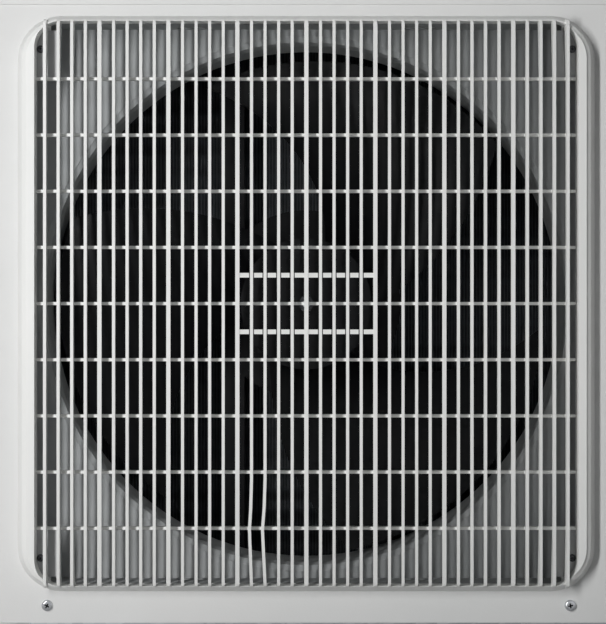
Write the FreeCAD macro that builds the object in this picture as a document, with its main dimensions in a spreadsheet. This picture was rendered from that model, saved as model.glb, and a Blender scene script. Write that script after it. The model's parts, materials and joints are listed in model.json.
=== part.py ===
import FreeCAD, Part
import math
import os
import re

import Sketcher

# Multi-split outdoor unit, in millimetres. The origin is the centre of the anchor bolt pattern, on the
# floor. The air outlet with its guard faces -Y, +X is to the right seen from the front, and +Z is up.

V = FreeCAD.Vector
doc = FreeCAD.newDocument("outdoor_unit")
sheet = doc.addObject("Spreadsheet::Sheet", "sizes")

# Driving dimensions
SIZES = {
    # Cabinet
    "cabinet_width": 875, "cabinet_depth": 320, "cabinet_height": 695,
    "panel_sheet": 1.0, "pan_sheet": 1.2, "seam": 0.3, "cabinet_corner": 12,
    "service_width": 209, "service_return": 58, "back_panel_x": 212,
    "valve_plate": 2, "valve_body": 11, "coil_front_end_y": -104, "front_return": 44, "edge_fold": 12,
    # Feet
    "foot_height": 30, "foot_width": 56, "foot_length": 396, "foot_sheet": 2.3, "foot_flange": 14,
    "foot_web_length": 284, "bolt_span": 613, "bolt_depth": 360.5, "bolt_slot_width": 12,
    "bolt_slot_length": 20,
    # Base pan and lid
    "pan_wall": 26, "pan_bead": 3, "pan_bead_width": 16, "skirt_drop": 12, "skirt_inset": 9,
    "skirt_end": 43.5, "drain_hole": 13, "lid_lip": 16, "lid_overhang": 1.5, "lid_emboss": 3,
    "lid_margin": 42,
    # Air outlet: the well behind the guard and the round mouth
    "outlet_x": -102.5, "outlet_z": 365, "well_width": 580, "well_height": 588, "well_depth": 37,
    "well_corner": 18, "well_flange": 9, "shroud_sheet": 1.2, "mouth_radius": 278.5, "mouth_lip": 8.5,
    "mouth_length": 66, "tab_width": 22, "tab_height": 46, "clip_slot": 33, "clip_slot_width": 9,
    # Guard
    "guard_width": 606, "guard_height": 604, "guard_corner": 47, "guard_proud": 20,
    "guard_slope": 7.1, "guard_slope_depth": 15, "guard_shoulder": 4.8, "guard_shoulder_depth": 3,
    "guard_land": 7.5, "guard_edge": 0.7, "guard_inner_corner": 27,
    "bar_width": 3.2, "thick_bar": 4.4, "bar_gap": 10.88, "bar_depth": 14, "bar_tip": 9, "bar_bend": 2.7,
    "bars_between": 4, "thick_bars": 7, "rib_height": 3.2, "rib_depth": 6, "rib_pitch": 58.8,
    "rib_count": 9, "plain_rib_height": 4.8, "plain_rib_drop": 28, "ear_thickness": 2.4,
    "guard_screw_x": 278.6, "guard_screw_z": 266.7,
    # Fan
    "fan_radius": 271, "hub_radius": 71, "hub_depth": 84, "fan_front": 108, "fan_chord": 92,
    "blade_thickness": 2.6, "blade_count": 3, "hub_wall": 3, "shaft_radius": 4, "shaft_length": 178, "blade_start": -5, "blade_span": 77, "trail_sweep": 45,
    "lead_sweep": 43, "tip_fold": 7,
    "fan_nut_radius": 9,
    # Fan motor and its bracket
    "motor_radius": 52, "motor_length": 58, "motor_front": 4, "motor_flange": 64,
    "rail_span": 172, "rail_width": 26, "rail_depth": 14, "bracket_sheet": 1.6, "bracket_ring": 112,
    # Coil
    "coil_thickness": 38, "coil_bend": 46, "coil_inset": 10, "coil_end_x": 214, "coil_front_y": 112,
    "coil_top_gap": 18, "tube_pitch": 25.4, "tube_radius": 4.8, "end_plate": 1.5,
    # Compressor compartment
    "partition_x": 200, "compressor_radius": 62, "compressor_height": 262, "compressor_x": 318,
    "compressor_y": 6, "compressor_lift": 16, "accumulator_radius": 30, "accumulator_height": 190,
    # Service valves on the right side
    "valve_count": 3, "valve_pitch": 62, "valve_low": 88, "gas_valve_y": 66, "liquid_valve_y": 8,
    "gas_flare": 9.5, "liquid_flare": 6.4, "valve_reach": 44, "cover_reach": 64,
    "cover_low": 40, "cover_high": 300, "cover_front": -42, "cover_back": 118, "cover_wall": 1.6, "spindle_radius": 4.5,
    "suction_pipe_radius": 6.4, "discharge_pipe_radius": 4.8, "post_width": 46, "guard_wire": 3,
    # Control box
    "box_low": 498, "box_high": 668, "box_depth": 205,
    # Fasteners
    "screw_radius": 2, "screw_head": 4, "screw_head_height": 2.6, "panel_screw_radius": 2.5,
    "panel_screw_head": 6, "panel_screw_head_height": 3,
}

for row, (alias, number) in enumerate(SIZES.items(), start=1):
    sheet.set(f"A{row}", alias)
    sheet.set(f"B{row}", str(number))
    sheet.setAlias(f"B{row}", alias)
doc.recompute()


def formula(text):
    """The expression that the document stores for a rule written on the sheet's names."""
    return re.sub(r"[a-z_]+", lambda word: ("sizes." if word.group() in SIZES else "") + word.group(),
                  str(text))


def value(text):
    """The number that a rule gives."""
    return float(sheet.evalExpression(formula(text)))


# Places that several pieces share, as rules on the sheet's names
face_y = "(0 - cabinet_depth / 2)"
back_y = "(cabinet_depth / 2)"
left_x = "(0 - cabinet_width / 2)"
right_x = "(cabinet_width / 2)"
seam_x = f"({right_x} - service_width)"
panel_low = "foot_height"
panel_high = "(cabinet_height - lid_lip)"
pan_top = "(foot_height + pan_sheet)"
well_floor_y = f"({face_y} + well_depth)"
guard_front_y = f"({face_y} - guard_proud)"
inside_left = f"({left_x} + panel_sheet + seam)"
inside_right = f"({right_x} - panel_sheet - seam)"
inside_front = f"({face_y} + panel_sheet + seam)"
inside_back = f"({back_y} - panel_sheet - seam)"


# Sketch shapes, each held in place by its sizes
def hold(sketch, kind, first, second, text):
    """Fix one distance of a sketch to a rule."""
    item = sketch.addConstraint(Sketcher.Constraint(kind, *first, *second, value(text)))
    sketch.setExpression(f"Constraints[{item}]", formula(text))


def outline(sketch, corners):
    """A closed outline of straight lines through corners given as pairs of rules."""
    start = sketch.GeometryCount
    spots = [V(value(across), value(up), 0) for across, up in corners]
    count = len(spots)
    for step in range(count):
        sketch.addGeometry(Part.LineSegment(spots[step], spots[(step + 1) % count]), False)
    for step in range(count):
        follower = start + (step + 1) % count
        sketch.addConstraint(Sketcher.Constraint("Coincident", start + step, 2, follower, 1))
    for step, (across, up) in enumerate(corners):
        hold(sketch, "DistanceX", (-1, 1), (start + step, 1), across)
        hold(sketch, "DistanceY", (-1, 1), (start + step, 1), up)


def rectangle(sketch, left, right, low, high):
    outline(sketch, [(left, low), (right, low), (right, high), (left, high)])


def centred(sketch, across, up, width, height):
    """A rectangle round a centre."""
    rectangle(sketch, f"{across} - {width} / 2", f"{across} + {width} / 2",
              f"{up} - {height} / 2", f"{up} + {height} / 2")


def slot(sketch, across, up, length, width):
    """A slot along the sketch's first axis, round at both ends."""
    start = sketch.GeometryCount
    middle = V(value(across), value(up), 0)
    bend = value(width) / 2
    reach = value(length) / 2 - bend
    for side, first in ((1, -math.pi / 2), (-1, math.pi / 2)):
        end = Part.Circle(middle + V(side * reach, 0, 0), V(0, 0, 1), bend)
        sketch.addGeometry(Part.ArcOfCircle(end, first, first + math.pi), False)
    for level in (1, -1):
        sketch.addGeometry(Part.LineSegment(middle + V(level * reach, level * bend, 0),
                                            middle + V(-level * reach, level * bend, 0)), False)
    right, left, top, bottom = range(start, start + 4)
    for first, last in ((right, top), (top, left), (left, bottom), (bottom, right)):
        sketch.addConstraint(Sketcher.Constraint("Tangent", first, 2, last, 1))
    sketch.addConstraint(Sketcher.Constraint("Horizontal", top))
    hold(sketch, "Radius", (right,), (), f"{width} / 2")
    hold(sketch, "DistanceX", (-1, 1), (right, 3), f"{across} + ({length} - {width}) / 2")
    hold(sketch, "DistanceX", (-1, 1), (left, 3), f"{across} - ({length} - {width}) / 2")
    hold(sketch, "DistanceY", (-1, 1), (right, 3), up)


def circle(sketch, across, up, radius):
    item = sketch.addGeometry(Part.Circle(V(value(across), value(up), 0), V(0, 0, 1), value(radius)), False)
    hold(sketch, "DistanceX", (-1, 1), (item, 3), across)
    hold(sketch, "DistanceY", (-1, 1), (item, 3), up)
    hold(sketch, "Radius", (item,), (), radius)


def rounded(sketch, across, up, width, height, radius):
    """A rectangle round a centre whose corners are arcs, tangent to its sides."""
    start = sketch.GeometryCount
    middle = V(value(across), value(up), 0)
    reach, rise, bend = value(width) / 2, value(height) / 2, value(radius)
    inner_x, inner_y = reach - bend, rise - bend
    for quarter, (to_x, to_y) in enumerate(((1, -1), (1, 1), (-1, 1), (-1, -1))):
        centre = middle + V(to_x * inner_x, to_y * inner_y, 0)
        first = quarter * math.pi / 2 - math.pi / 2
        round_corner = Part.ArcOfCircle(Part.Circle(centre, V(0, 0, 1), bend), first, first + math.pi / 2)
        sketch.addGeometry(round_corner, False)
    ends = [(middle + V(reach, -inner_y, 0), middle + V(reach, inner_y, 0)),
            (middle + V(inner_x, rise, 0), middle + V(-inner_x, rise, 0)),
            (middle + V(-reach, inner_y, 0), middle + V(-reach, -inner_y, 0)),
            (middle + V(-inner_x, -rise, 0), middle + V(inner_x, -rise, 0))]
    for first, last in ends:
        sketch.addGeometry(Part.LineSegment(first, last), False)
    for side in range(4):
        line = start + 4 + side
        sketch.addConstraint(Sketcher.Constraint("Tangent", start + side, 2, line, 1))
        sketch.addConstraint(Sketcher.Constraint("Tangent", line, 2, start + (side + 1) % 4, 1))
        sketch.addConstraint(Sketcher.Constraint("Vertical" if side % 2 == 0 else "Horizontal", line))
    for side in (1, 2, 3):
        sketch.addConstraint(Sketcher.Constraint("Equal", start, start + side))
    hold(sketch, "Radius", (start,), (), radius)
    hold(sketch, "DistanceX", (-1, 1), (start + 4, 1), f"{across} + {width} / 2")
    hold(sketch, "DistanceX", (-1, 1), (start + 6, 1), f"{across} - {width} / 2")
    hold(sketch, "DistanceY", (-1, 1), (start + 5, 1), f"{up} + {height} / 2")
    hold(sketch, "DistanceY", (-1, 1), (start + 7, 1), f"{up} - {height} / 2")


# Bodies and their features. XZ sketches read X across and Z up, and their normal points to -Y.
PLANES = {"XY": "XY_Plane", "XZ": "XZ_Plane", "YZ": "YZ_Plane"}


def new_body(name):
    return doc.addObject("PartDesign::Body", name)


def new_sketch(body, name, plane, place, draw, shift="0"):
    sketch = body.newObject("Sketcher::SketchObject", f"{body.Name}_{name}_sketch")
    support = next(item for item in body.Origin.OriginFeatures if item.Role == PLANES[plane])
    sketch.AttachmentSupport = [(support, "")]
    sketch.MapMode = "FlatFace"
    offset = f"0 - ({place})" if plane == "XZ" else place
    sketch.setExpression("AttachmentOffset.Base.z", formula(offset))
    sketch.setExpression("AttachmentOffset.Base.x", formula(shift))
    draw(sketch)
    return sketch


def add(body, name, plane, low, high, draw):
    """Material between two levels along the plane's axis."""
    place = high if plane == "XZ" else low
    feature = body.newObject("PartDesign::Pad", f"{body.Name}_{name}")
    feature.Profile = new_sketch(body, name, plane, place, draw)
    feature.setExpression("Length", formula(f"{high} - ({low})"))
    return feature


def take(body, name, plane, low, high, draw):
    """A cut between two levels along the plane's axis."""
    place = low if plane == "XZ" else high
    feature = body.newObject("PartDesign::Pocket", f"{body.Name}_{name}")
    feature.Profile = new_sketch(body, name, plane, place, draw)
    feature.setExpression("Length", formula(f"{high} - ({low})"))
    return feature


def turn(body, name, plane, place, draw, axis, shift="0"):
    """Material turned about a sketch axis, which shift moves across."""
    feature = body.newObject("PartDesign::Revolution", f"{body.Name}_{name}")
    sketch = new_sketch(body, name, plane, place, draw, shift)
    feature.Profile = sketch
    feature.ReferenceAxis = (sketch, [axis])
    feature.Angle = 360
    return feature


def repeat(body, name, feature, axis, step, count):
    """A feature copied along one axis of its sketch."""
    pattern = body.newObject("PartDesign::LinearPattern", f"{body.Name}_{name}")
    pattern.Originals = [feature]
    pattern.Direction = (feature.Profile[0], [axis])
    pattern.Mode = "Spacing"
    pattern.setExpression("Offset", formula(step))
    pattern.setExpression("Occurrences", formula(count))
    body.Tip = pattern
    return pattern


def round_edges(body, name, radius, axis, **places):
    """Fillet the edges that run along an axis at the given places, each a list of rules."""
    doc.recompute()
    spots = {key: [value(text) for text in texts] for key, texts in places.items()}
    chosen = []
    for number, edge in enumerate(body.Tip.Shape.Edges, start=1):
        if not isinstance(edge.Curve, Part.Line):
            continue
        middle = edge.CenterOfMass
        along = abs(getattr(edge.Curve.Direction, axis.lower())) > 0.999
        near = all(min(abs(getattr(middle, key) - spot) for spot in found) < 0.05
                   for key, found in spots.items())
        if along and near:
            chosen.append(f"Edge{number}")
    base = body.Tip
    feature = body.newObject("PartDesign::Fillet", f"{body.Name}_{name}")
    feature.Base = (base, chosen)
    feature.setExpression("Radius", formula(radius))
    body.Tip = feature
    return feature


def round_corner(body, x, inward_x, y, inward_y):
    """Bend the corner of a folded sheet: its inside first, then its outside."""
    round_edges(body, "inner_bend", "cabinet_corner - panel_sheet", "Z",
                x=[f"{x} + {inward_x} * panel_sheet"], y=[f"{y} + {inward_y} * panel_sheet"])
    round_edges(body, "outer_bend", "cabinet_corner", "Z", x=[x], y=[y])


# Plain solids, their joins and groups
TURNS = {"Z": FreeCAD.Rotation(), "X": FreeCAD.Rotation(V(0, 1, 0), 90),
         "Y": FreeCAD.Rotation(V(1, 0, 0), -90), "-Y": FreeCAD.Rotation(V(1, 0, 0), 90)}


def put(item, x, y, z, along="Z"):
    item.Placement = FreeCAD.Placement(V(0, 0, 0), TURNS[along])
    for axis, text in zip("xyz", (x, y, z)):
        item.setExpression(f"Placement.Base.{axis}", formula(text))
    return item


def block(name, x, y, z, length, width, height):
    """A box from its lowest corner."""
    item = doc.addObject("Part::Box", name)
    item.setExpression("Length", formula(length))
    item.setExpression("Width", formula(width))
    item.setExpression("Height", formula(height))
    return put(item, x, y, z)


def rod(name, x, y, z, radius, length, along="Z"):
    item = doc.addObject("Part::Cylinder", name)
    item.setExpression("Radius", formula(radius))
    item.setExpression("Height", formula(length))
    return put(item, x, y, z, along)


def cone(name, x, y, z, radius, end_radius, length, along="Z"):
    item = doc.addObject("Part::Cone", name)
    item.setExpression("Radius1", formula(radius))
    item.setExpression("Radius2", formula(end_radius))
    item.setExpression("Height", formula(length))
    return put(item, x, y, z, along)


def join(name, pieces):
    item = doc.addObject("Part::MultiFuse", name)
    item.Shapes = pieces
    return item


def cut(name, base, tool):
    item = doc.addObject("Part::Cut", name)
    item.Base = base
    item.Tool = tool
    return item


def group(name, pieces):
    """Separate solids that share one node."""
    item = doc.addObject("Part::Compound", name)
    item.Links = pieces
    return item


def shaped(name, shape):
    """A piece whose form is worked out from the sheet's values."""
    item = doc.addObject("Part::Feature", name)
    item.Shape = shape
    return item


def screw(name, x, y, z, along, head, head_height, shank, length):
    """A pan-head screw whose head stands against the way it points."""
    back = {"Y": (0, -1, 0), "X": (-1, 0, 0), "-Y": (0, 1, 0), "Z": (0, 0, -1)}[along]
    spot = [f"{text} + {sign} * ({head_height})" if sign >= 0 else f"{text} - ({head_height})"
            for text, sign in zip((x, y, z), back)]
    top = cone(f"{name}_head", *spot, f"{head} * 0.8", head, head_height, along)
    stem = rod(f"{name}_stem", x, y, z, shank, length, along)
    return join(name, [top, stem])


def tube(points, radius, bend):
    """A pipe through points: straight runs joined by bends of one radius, where the runs leave room."""
    pieces = []
    start = points[0]
    for before, corner, after in zip(points, points[1:], points[2:]):
        into = (corner - before).normalize()
        out = (after - corner).normalize()
        angle = into.getAngle(out)
        reach = min(bend * math.tan(angle / 2), (corner - before).Length * 0.48,
                    (after - corner).Length * 0.48)
        first = corner - into * reach
        pieces.append(Part.makeCylinder(radius, (first - start).Length, start, into))
        middle = first + (out - into * into.dot(out)).normalize() * (reach / math.tan(angle / 2))
        disc = Part.Face(Part.Wire([Part.Circle(first, into, radius).toShape()]))
        pieces.append(disc.revolve(middle, into.cross(out), math.degrees(angle)))
        start = corner + out * reach
    last = points[-1] - start
    pieces.append(Part.makeCylinder(radius, last.Length, start, last))
    return pieces[0].fuse(pieces[1:])


# Base pan: a folded tray with pressed beads, drain holes and a skirt below its front and back
base_pan = new_body("base_pan")
inside_width = f"({inside_right} - {inside_left})"
inside_depth = f"({inside_back} - {inside_front})"
pan_corner = "(cabinet_corner - panel_sheet)"
add(base_pan, "tray", "XY", panel_low, f"{pan_top} + pan_wall",
    lambda s: rounded(s, 0, 0, inside_width, inside_depth, pan_corner))
take(base_pan, "hollow", "XY", pan_top, f"{pan_top} + pan_wall",
     lambda s: rounded(s, 0, 0, f"({inside_width} - 2 * pan_sheet)", f"({inside_depth} - 2 * pan_sheet)",
                       f"({pan_corner} - pan_sheet)"))
skirt_left = f"({left_x} + skirt_end)"
skirt_right = f"({right_x} - skirt_end)"


def skirts(s):
    for inner, outer in ((f"{face_y} + skirt_inset", f"{face_y} + skirt_inset + pan_sheet"),
                         (f"{back_y} - skirt_inset - pan_sheet", f"{back_y} - skirt_inset")):
        rectangle(s, skirt_left, skirt_right, inner, outer)


add(base_pan, "skirts", "XY", f"{panel_low} - skirt_drop", panel_low, skirts)
bead = add(base_pan, "bead", "XY", pan_top, f"{pan_top} + pan_bead",
           lambda s: rectangle(s, f"{left_x} + 70", f"{left_x} + 70 + pan_bead_width", -110, 90))
repeat(base_pan, "beads", bead, "H_Axis", 74, 6)


def drains(s):
    for across in (-300, -152, -4):
        circle(s, across, 100, "drain_hole")
    circle(s, -152, -128, "drain_hole")


take(base_pan, "drains", "XY", f"{panel_low} - 1", f"{pan_top} + 1", drains)
panel_spots = [("(outlet_x - 272)", f"({panel_low} + 18)"), ("(outlet_x + 277)", f"({panel_low} + 18)")]
service_spots = [(f"({seam_x} + 14)", f"({panel_low} + 18)"), (f"({right_x} - 22)", f"({panel_low} + 18)"),
                 (f"({right_x} - 22)", f"({panel_high} - 20)")]


def pan_screw_holes(s):
    for across, up in panel_spots + service_spots[:2]:
        circle(s, across, up, "panel_screw_radius + 0.05")


take(base_pan, "screw_holes", "XZ", f"{inside_front} - 1", f"{inside_front} + pan_sheet + 1", pan_screw_holes)


# Two feet, each a pressed channel with slotted ears in front and behind
def make_foot(name, side):
    foot = new_body(name)
    centre = f"({side} * bolt_span / 2)"
    add(foot, "sole", "XY", 0, "foot_sheet",
        lambda s: centred(s, centre, 0, "foot_width", "foot_length"))

    def walls(s):
        for hand in (-1, 1):
            outer = f"{centre} + {hand} * foot_width / 2"
            inner = f"{centre} + {hand} * (foot_width / 2 - foot_sheet)"
            edge = f"{centre} + {hand} * (foot_width / 2 + foot_flange)"
            outline(s, [(inner, "foot_sheet"), (outer, "foot_sheet"),
                        (outer, "foot_height - foot_sheet"), (edge, "foot_height - foot_sheet"),
                        (edge, "foot_height"), (inner, "foot_height")])

    add(foot, "walls", "XZ", "0 - foot_web_length / 2", "foot_web_length / 2", walls)

    def slots(s):
        for end in (-1, 1):
            slot(s, centre, f"{end} * bolt_depth / 2", "bolt_slot_length", "bolt_slot_width")

    take(foot, "slots", "XY", -1, "foot_sheet + 1", slots)


make_foot("left_foot", -1)
make_foot("right_foot", 1)

# Lid: a pressed tray turned over, with a raised field
top_panel = new_body("top_panel")
lid_top = "(cabinet_height - lid_emboss)"
lid_width = "(cabinet_width + 2 * lid_overhang)"
lid_depth = "(cabinet_depth + 2 * lid_overhang)"
lid_corner = "(cabinet_corner + lid_overhang)"
lid_inset = "(2 * lid_margin)"
wall_pair = "(2 * panel_sheet)"
add(top_panel, "shell", "XY", panel_high, lid_top,
    lambda s: rounded(s, 0, 0, lid_width, lid_depth, lid_corner))
add(top_panel, "field", "XY", lid_top, "cabinet_height",
    lambda s: rounded(s, 0, 0, f"({lid_width} - {lid_inset})", f"({lid_depth} - {lid_inset})", lid_corner))
take(top_panel, "hollow", "XY", panel_high, f"{lid_top} - panel_sheet",
     lambda s: rounded(s, 0, 0, f"({lid_width} - {wall_pair})", f"({lid_depth} - {wall_pair})",
                       f"({lid_corner} - panel_sheet)"))
take(top_panel, "field_hollow", "XY", f"{lid_top} - panel_sheet - 0.5", "cabinet_height - panel_sheet",
     lambda s: rounded(s, 0, 0, f"({lid_width} - {lid_inset} - {wall_pair})",
                       f"({lid_depth} - {lid_inset} - {wall_pair})", f"({lid_corner} - panel_sheet)"))

# Front panel: one sheet with a return round the left corner, edge folds and the outlet opening. A tab
# in each corner of the opening takes a guard screw.
front_panel = new_body("front_panel")
front_right = f"({seam_x} - seam)"
lid_floor = f"({lid_top} - panel_sheet - seam)"
fold_low = f"({pan_top} + pan_wall + seam)"
add(front_panel, "face", "XZ", face_y, f"{face_y} + panel_sheet",
    lambda s: rectangle(s, left_x, front_right, panel_low, lid_floor))
add(front_panel, "return", "YZ", left_x, f"{left_x} + panel_sheet",
    lambda s: rectangle(s, face_y, f"{face_y} + front_return", panel_low, lid_floor))
add(front_panel, "seam_fold", "YZ", f"{front_right} - panel_sheet", front_right,
    lambda s: rectangle(s, face_y, f"{face_y} + edge_fold", fold_low, lid_floor))
round_corner(front_panel, left_x, 1, face_y, 1)
outlet_left = "(outlet_x - well_width / 2)"
outlet_right = "(outlet_x + well_width / 2)"
outlet_low = "(outlet_z - well_height / 2)"
outlet_high = "(outlet_z + well_height / 2)"


def opening(s):
    left, right, low, high = outlet_left, outlet_right, outlet_low, outlet_high
    step_left, step_right = f"{left} + tab_width", f"{right} - tab_width"
    step_low, step_high = f"{low} + tab_height", f"{high} - tab_height"
    outline(s, [(step_left, low), (step_right, low), (step_right, step_low), (right, step_low),
                (right, step_high), (step_right, step_high), (step_right, high), (step_left, high),
                (step_left, step_high), (left, step_high), (left, step_low), (step_left, step_low)])


take(front_panel, "opening", "XZ", f"{face_y} - 1", f"{face_y} + panel_sheet + 1", opening)
guard_spots = [(f"(outlet_x + {side} * guard_screw_x)", f"(outlet_z + {level} * guard_screw_z)")
               for side in (-1, 1) for level in (-1, 1)]


def front_holes(s):
    for across, up in guard_spots:
        circle(s, across, up, "screw_radius + 0.05")
    for across, up in panel_spots:
        circle(s, across, up, "panel_screw_radius + 0.05")


take(front_panel, "screw_holes", "XZ", f"{face_y} - 1", f"{face_y} + panel_sheet + 1", front_holes)

# Shroud behind the outlet: a square well, its clip slots and the round mouth round the fan
fan_shroud = new_body("fan_shroud")
well_rim_y = f"({face_y} + panel_sheet + seam)"
add(fan_shroud, "well", "XZ", well_rim_y, f"{well_floor_y} + shroud_sheet",
    lambda s: centred(s, "outlet_x", "outlet_z", "(well_width + 2 * shroud_sheet)",
                      "(well_height + 2 * shroud_sheet)"))
add(fan_shroud, "flange", "XZ", well_rim_y, f"{well_rim_y} + shroud_sheet",
    lambda s: centred(s, "outlet_x", "outlet_z", "(well_width + 2 * well_flange)",
                      "(well_height + 2 * well_flange)"))
take(fan_shroud, "hollow", "XZ", f"{well_rim_y} - 1", well_floor_y,
     lambda s: centred(s, "outlet_x", "outlet_z", "well_width", "well_height"))
round_edges(fan_shroud, "well_corners", "well_corner", "Y", x=[outlet_left, outlet_right])
mouth_end = f"({well_floor_y} + mouth_length)"
take(fan_shroud, "mouth_hole", "XZ", f"{well_floor_y} - 1", f"{well_floor_y} + shroud_sheet + 1",
     lambda s: circle(s, "outlet_x", "outlet_z", "mouth_radius + mouth_lip"))
turn(fan_shroud, "mouth", "XY", "outlet_z",
     lambda s: outline(s, [("mouth_radius + mouth_lip + 2", well_floor_y),
                           ("mouth_radius + 2.5", f"{well_floor_y} + 3"),
                           ("mouth_radius", f"{well_floor_y} + mouth_lip + 2"),
                           ("mouth_radius", f"{mouth_end} - 12"),
                           ("mouth_radius + 3", f"{mouth_end} - 4"),
                           ("mouth_radius + 6", mouth_end),
                           ("mouth_radius + 6.4", f"{mouth_end} - 1.4"),
                           ("mouth_radius + 3.8", f"{mouth_end} - 5"),
                           ("mouth_radius + shroud_sheet", f"{mouth_end} - 12"),
                           ("mouth_radius + shroud_sheet", f"{well_floor_y} + mouth_lip + 3"),
                           ("mouth_radius + 3.5", f"{well_floor_y} + 4.5"),
                           ("mouth_radius + mouth_lip + 2", f"{well_floor_y} + shroud_sheet")]),
     "V_Axis", "outlet_x")


def clip_slots(s):
    for side in (-1, 1):
        for level in (-1, 1):
            centred(s, f"outlet_x + {side} * 121", f"outlet_z + {level} * (well_height / 2)",
                    "clip_slot", 6)


take(fan_shroud, "clip_slots", "XZ", f"{well_floor_y} - clip_slot_width - 6", f"{well_floor_y} - 6", clip_slots)


def side_slots(s):
    for side in (-1, 1):
        for level in (-1, 1):
            centred(s, f"outlet_x + {side} * (well_width / 2)", f"outlet_z + {level} * 97", 6, "clip_slot")


take(fan_shroud, "side_slots", "XZ", f"{well_rim_y} + 3", f"{well_rim_y} + 3 + clip_slot_width", side_slots)

# Guard: a moulded rim with a sloping edge, 39 upright bars whose ends turn back, and ribs behind them
fan_guard = new_body("fan_guard")
rim_top_y = f"({guard_front_y} + 1)"
slope_y = f"({face_y} - guard_slope_depth)"
shoulder_y = f"({slope_y} - guard_shoulder_depth)"
rim_levels = [(face_y, "0"), (slope_y, "guard_slope"), (shoulder_y, "(guard_slope + guard_shoulder)")]


def rim_outline(inset):
    return lambda s: rounded(s, "outlet_x", "outlet_z", f"(guard_width - 2 * {inset})",
                             f"(guard_height - 2 * {inset})", f"(guard_corner - {inset})")


for name, (low, low_inset), (high, high_inset) in zip(("slope", "shoulder"), rim_levels, rim_levels[1:]):
    taper = fan_guard.newObject("PartDesign::AdditiveLoft", f"fan_guard_{name}")
    taper.Profile = new_sketch(fan_guard, f"{name}_back", "XZ", low, rim_outline(low_inset))
    taper.Sections = [new_sketch(fan_guard, f"{name}_front", "XZ", high, rim_outline(high_inset))]
    taper.Ruled = True
add(fan_guard, "land", "XZ", rim_top_y, shoulder_y, rim_outline("(guard_slope + guard_shoulder)"))
open_half_x = "(guard_width / 2 - guard_slope - guard_shoulder - guard_land - 1)"
open_half_z = "(guard_height / 2 - guard_slope - guard_edge)"
take(fan_guard, "rim_opening", "XZ", f"{rim_top_y} - 1", f"{face_y} + 1",
     lambda s: rounded(s, "outlet_x", "outlet_z", f"(2 * {open_half_x})", f"(2 * {open_half_z})",
                       "guard_inner_corner"))
bar_back_y = f"({guard_front_y} + bar_depth)"
bar_half = "(guard_height / 2 - 5.6)"
bar_step = "(bar_width + bar_gap)"
group_pitch = "(thick_bar + bars_between * bar_width + (bars_between + 1) * bar_gap)"
first_group = f"(outlet_x - (thick_bars - 1) / 2 * {group_pitch} - thick_bar / 2 - bars_between * {bar_step})"
first_thick = f"(outlet_x - (thick_bars - 1) / 2 * {group_pitch})"


def thin_bars(s):
    for number in range(int(value("bars_between"))):
        left = f"{first_group} + {number} * {bar_step}"
        rectangle(s, left, f"{left} + bar_width", f"outlet_z - {bar_half}", f"outlet_z + {bar_half}")


thin = add(fan_guard, "bars", "XZ", guard_front_y, bar_back_y, thin_bars)
repeat(fan_guard, "bar_groups", thin, "H_Axis", group_pitch, "thick_bars + 1")
thick = add(fan_guard, "thick_bar", "XZ", guard_front_y, bar_back_y,
            lambda s: centred(s, first_thick, "outlet_z", "thick_bar", f"(2 * {bar_half})"))
repeat(fan_guard, "thick_bar_row", thick, "H_Axis", group_pitch, "thick_bars")

# Two bars left of the middle, bent a little to the left at the lowest rib
bend_top = "(outlet_z - 3.1 * rib_pitch)"
bend_foot = f"(outlet_z - {open_half_z} + 2)"
bent_left = [f"({first_group} + 3 * {group_pitch} + {number} * {bar_step})" for number in (0, 1)]
take(fan_guard, "bent_bar_room", "XZ", f"{guard_front_y} - 1", f"{bar_back_y} + 1",
     lambda s: rectangle(s, f"{bent_left[0]} - 1", f"{bent_left[1]} + bar_width + 1", bend_foot, bend_top))


def bent_bars(s):
    for left, share in zip(bent_left, (0.8, 1)):
        run = [(bend_top, 0), ("outlet_z - 3.6 * rib_pitch", 0.35 * share),
               ("outlet_z - 4 * rib_pitch", share), (bend_foot, 0)]
        outline(s, [(f"{left} - bar_bend * {part}", up) for up, part in run]
                + [(f"{left} + bar_width - bar_bend * {part}", up) for up, part in reversed(run)])


add(fan_guard, "bent_bars", "XZ", guard_front_y, bar_back_y, bent_bars)


def trimmed_corners(s):
    """The bars' first and last stretches follow the rim's rounded corners."""
    for side in (-1, 1):
        for level in (-1, 1):
            edge_x, edge_z = f"outlet_x + {side} * {open_half_x}", f"outlet_z + {level} * (guard_height / 2 + 1)"
            outline(s, [(f"{edge_x} - {side} * 30", edge_z), (edge_x, edge_z),
                        (edge_x, f"outlet_z + {level} * ({open_half_z} - guard_inner_corner * 0.6)"),
                        (f"{edge_x} - {side} * guard_inner_corner * 0.4",
                         f"outlet_z + {level} * ({open_half_z} - guard_inner_corner * 0.15)")])


take(fan_guard, "corner_trim", "XZ", f"{guard_front_y} - 1", rim_top_y, trimmed_corners)


def bar_tips(s):
    for level in (-1, 1):
        tip = f"outlet_z + {level} * ({bar_half} + 1)"
        outline(s, [(f"{guard_front_y} - 1", tip), (f"{guard_front_y} + bar_tip", tip),
                    (f"{guard_front_y} + 2", f"{tip} - {level} * 4"),
                    (guard_front_y, f"{tip} - {level} * 8"), (f"{guard_front_y} - 1", f"{tip} - {level} * 8")])


take(fan_guard, "bar_tips", "YZ", f"outlet_x - {open_half_x}", f"outlet_x + {open_half_x}", bar_tips)
rib = add(fan_guard, "rib", "XZ", bar_back_y, f"{bar_back_y} + rib_depth",
          lambda s: centred(s, "outlet_x", "outlet_z - (rib_count - 1) / 2 * rib_pitch",
                            f"(2 * {open_half_x} + 2)", "rib_height"))
repeat(fan_guard, "ribs", rib, "V_Axis", "rib_pitch", "rib_count")


def plain_ribs(s):
    for level in (-1, 1):
        centred(s, "outlet_x", f"outlet_z + {level} * rib_pitch / 2", f"(2 * {group_pitch})",
                "plain_rib_height")


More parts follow.
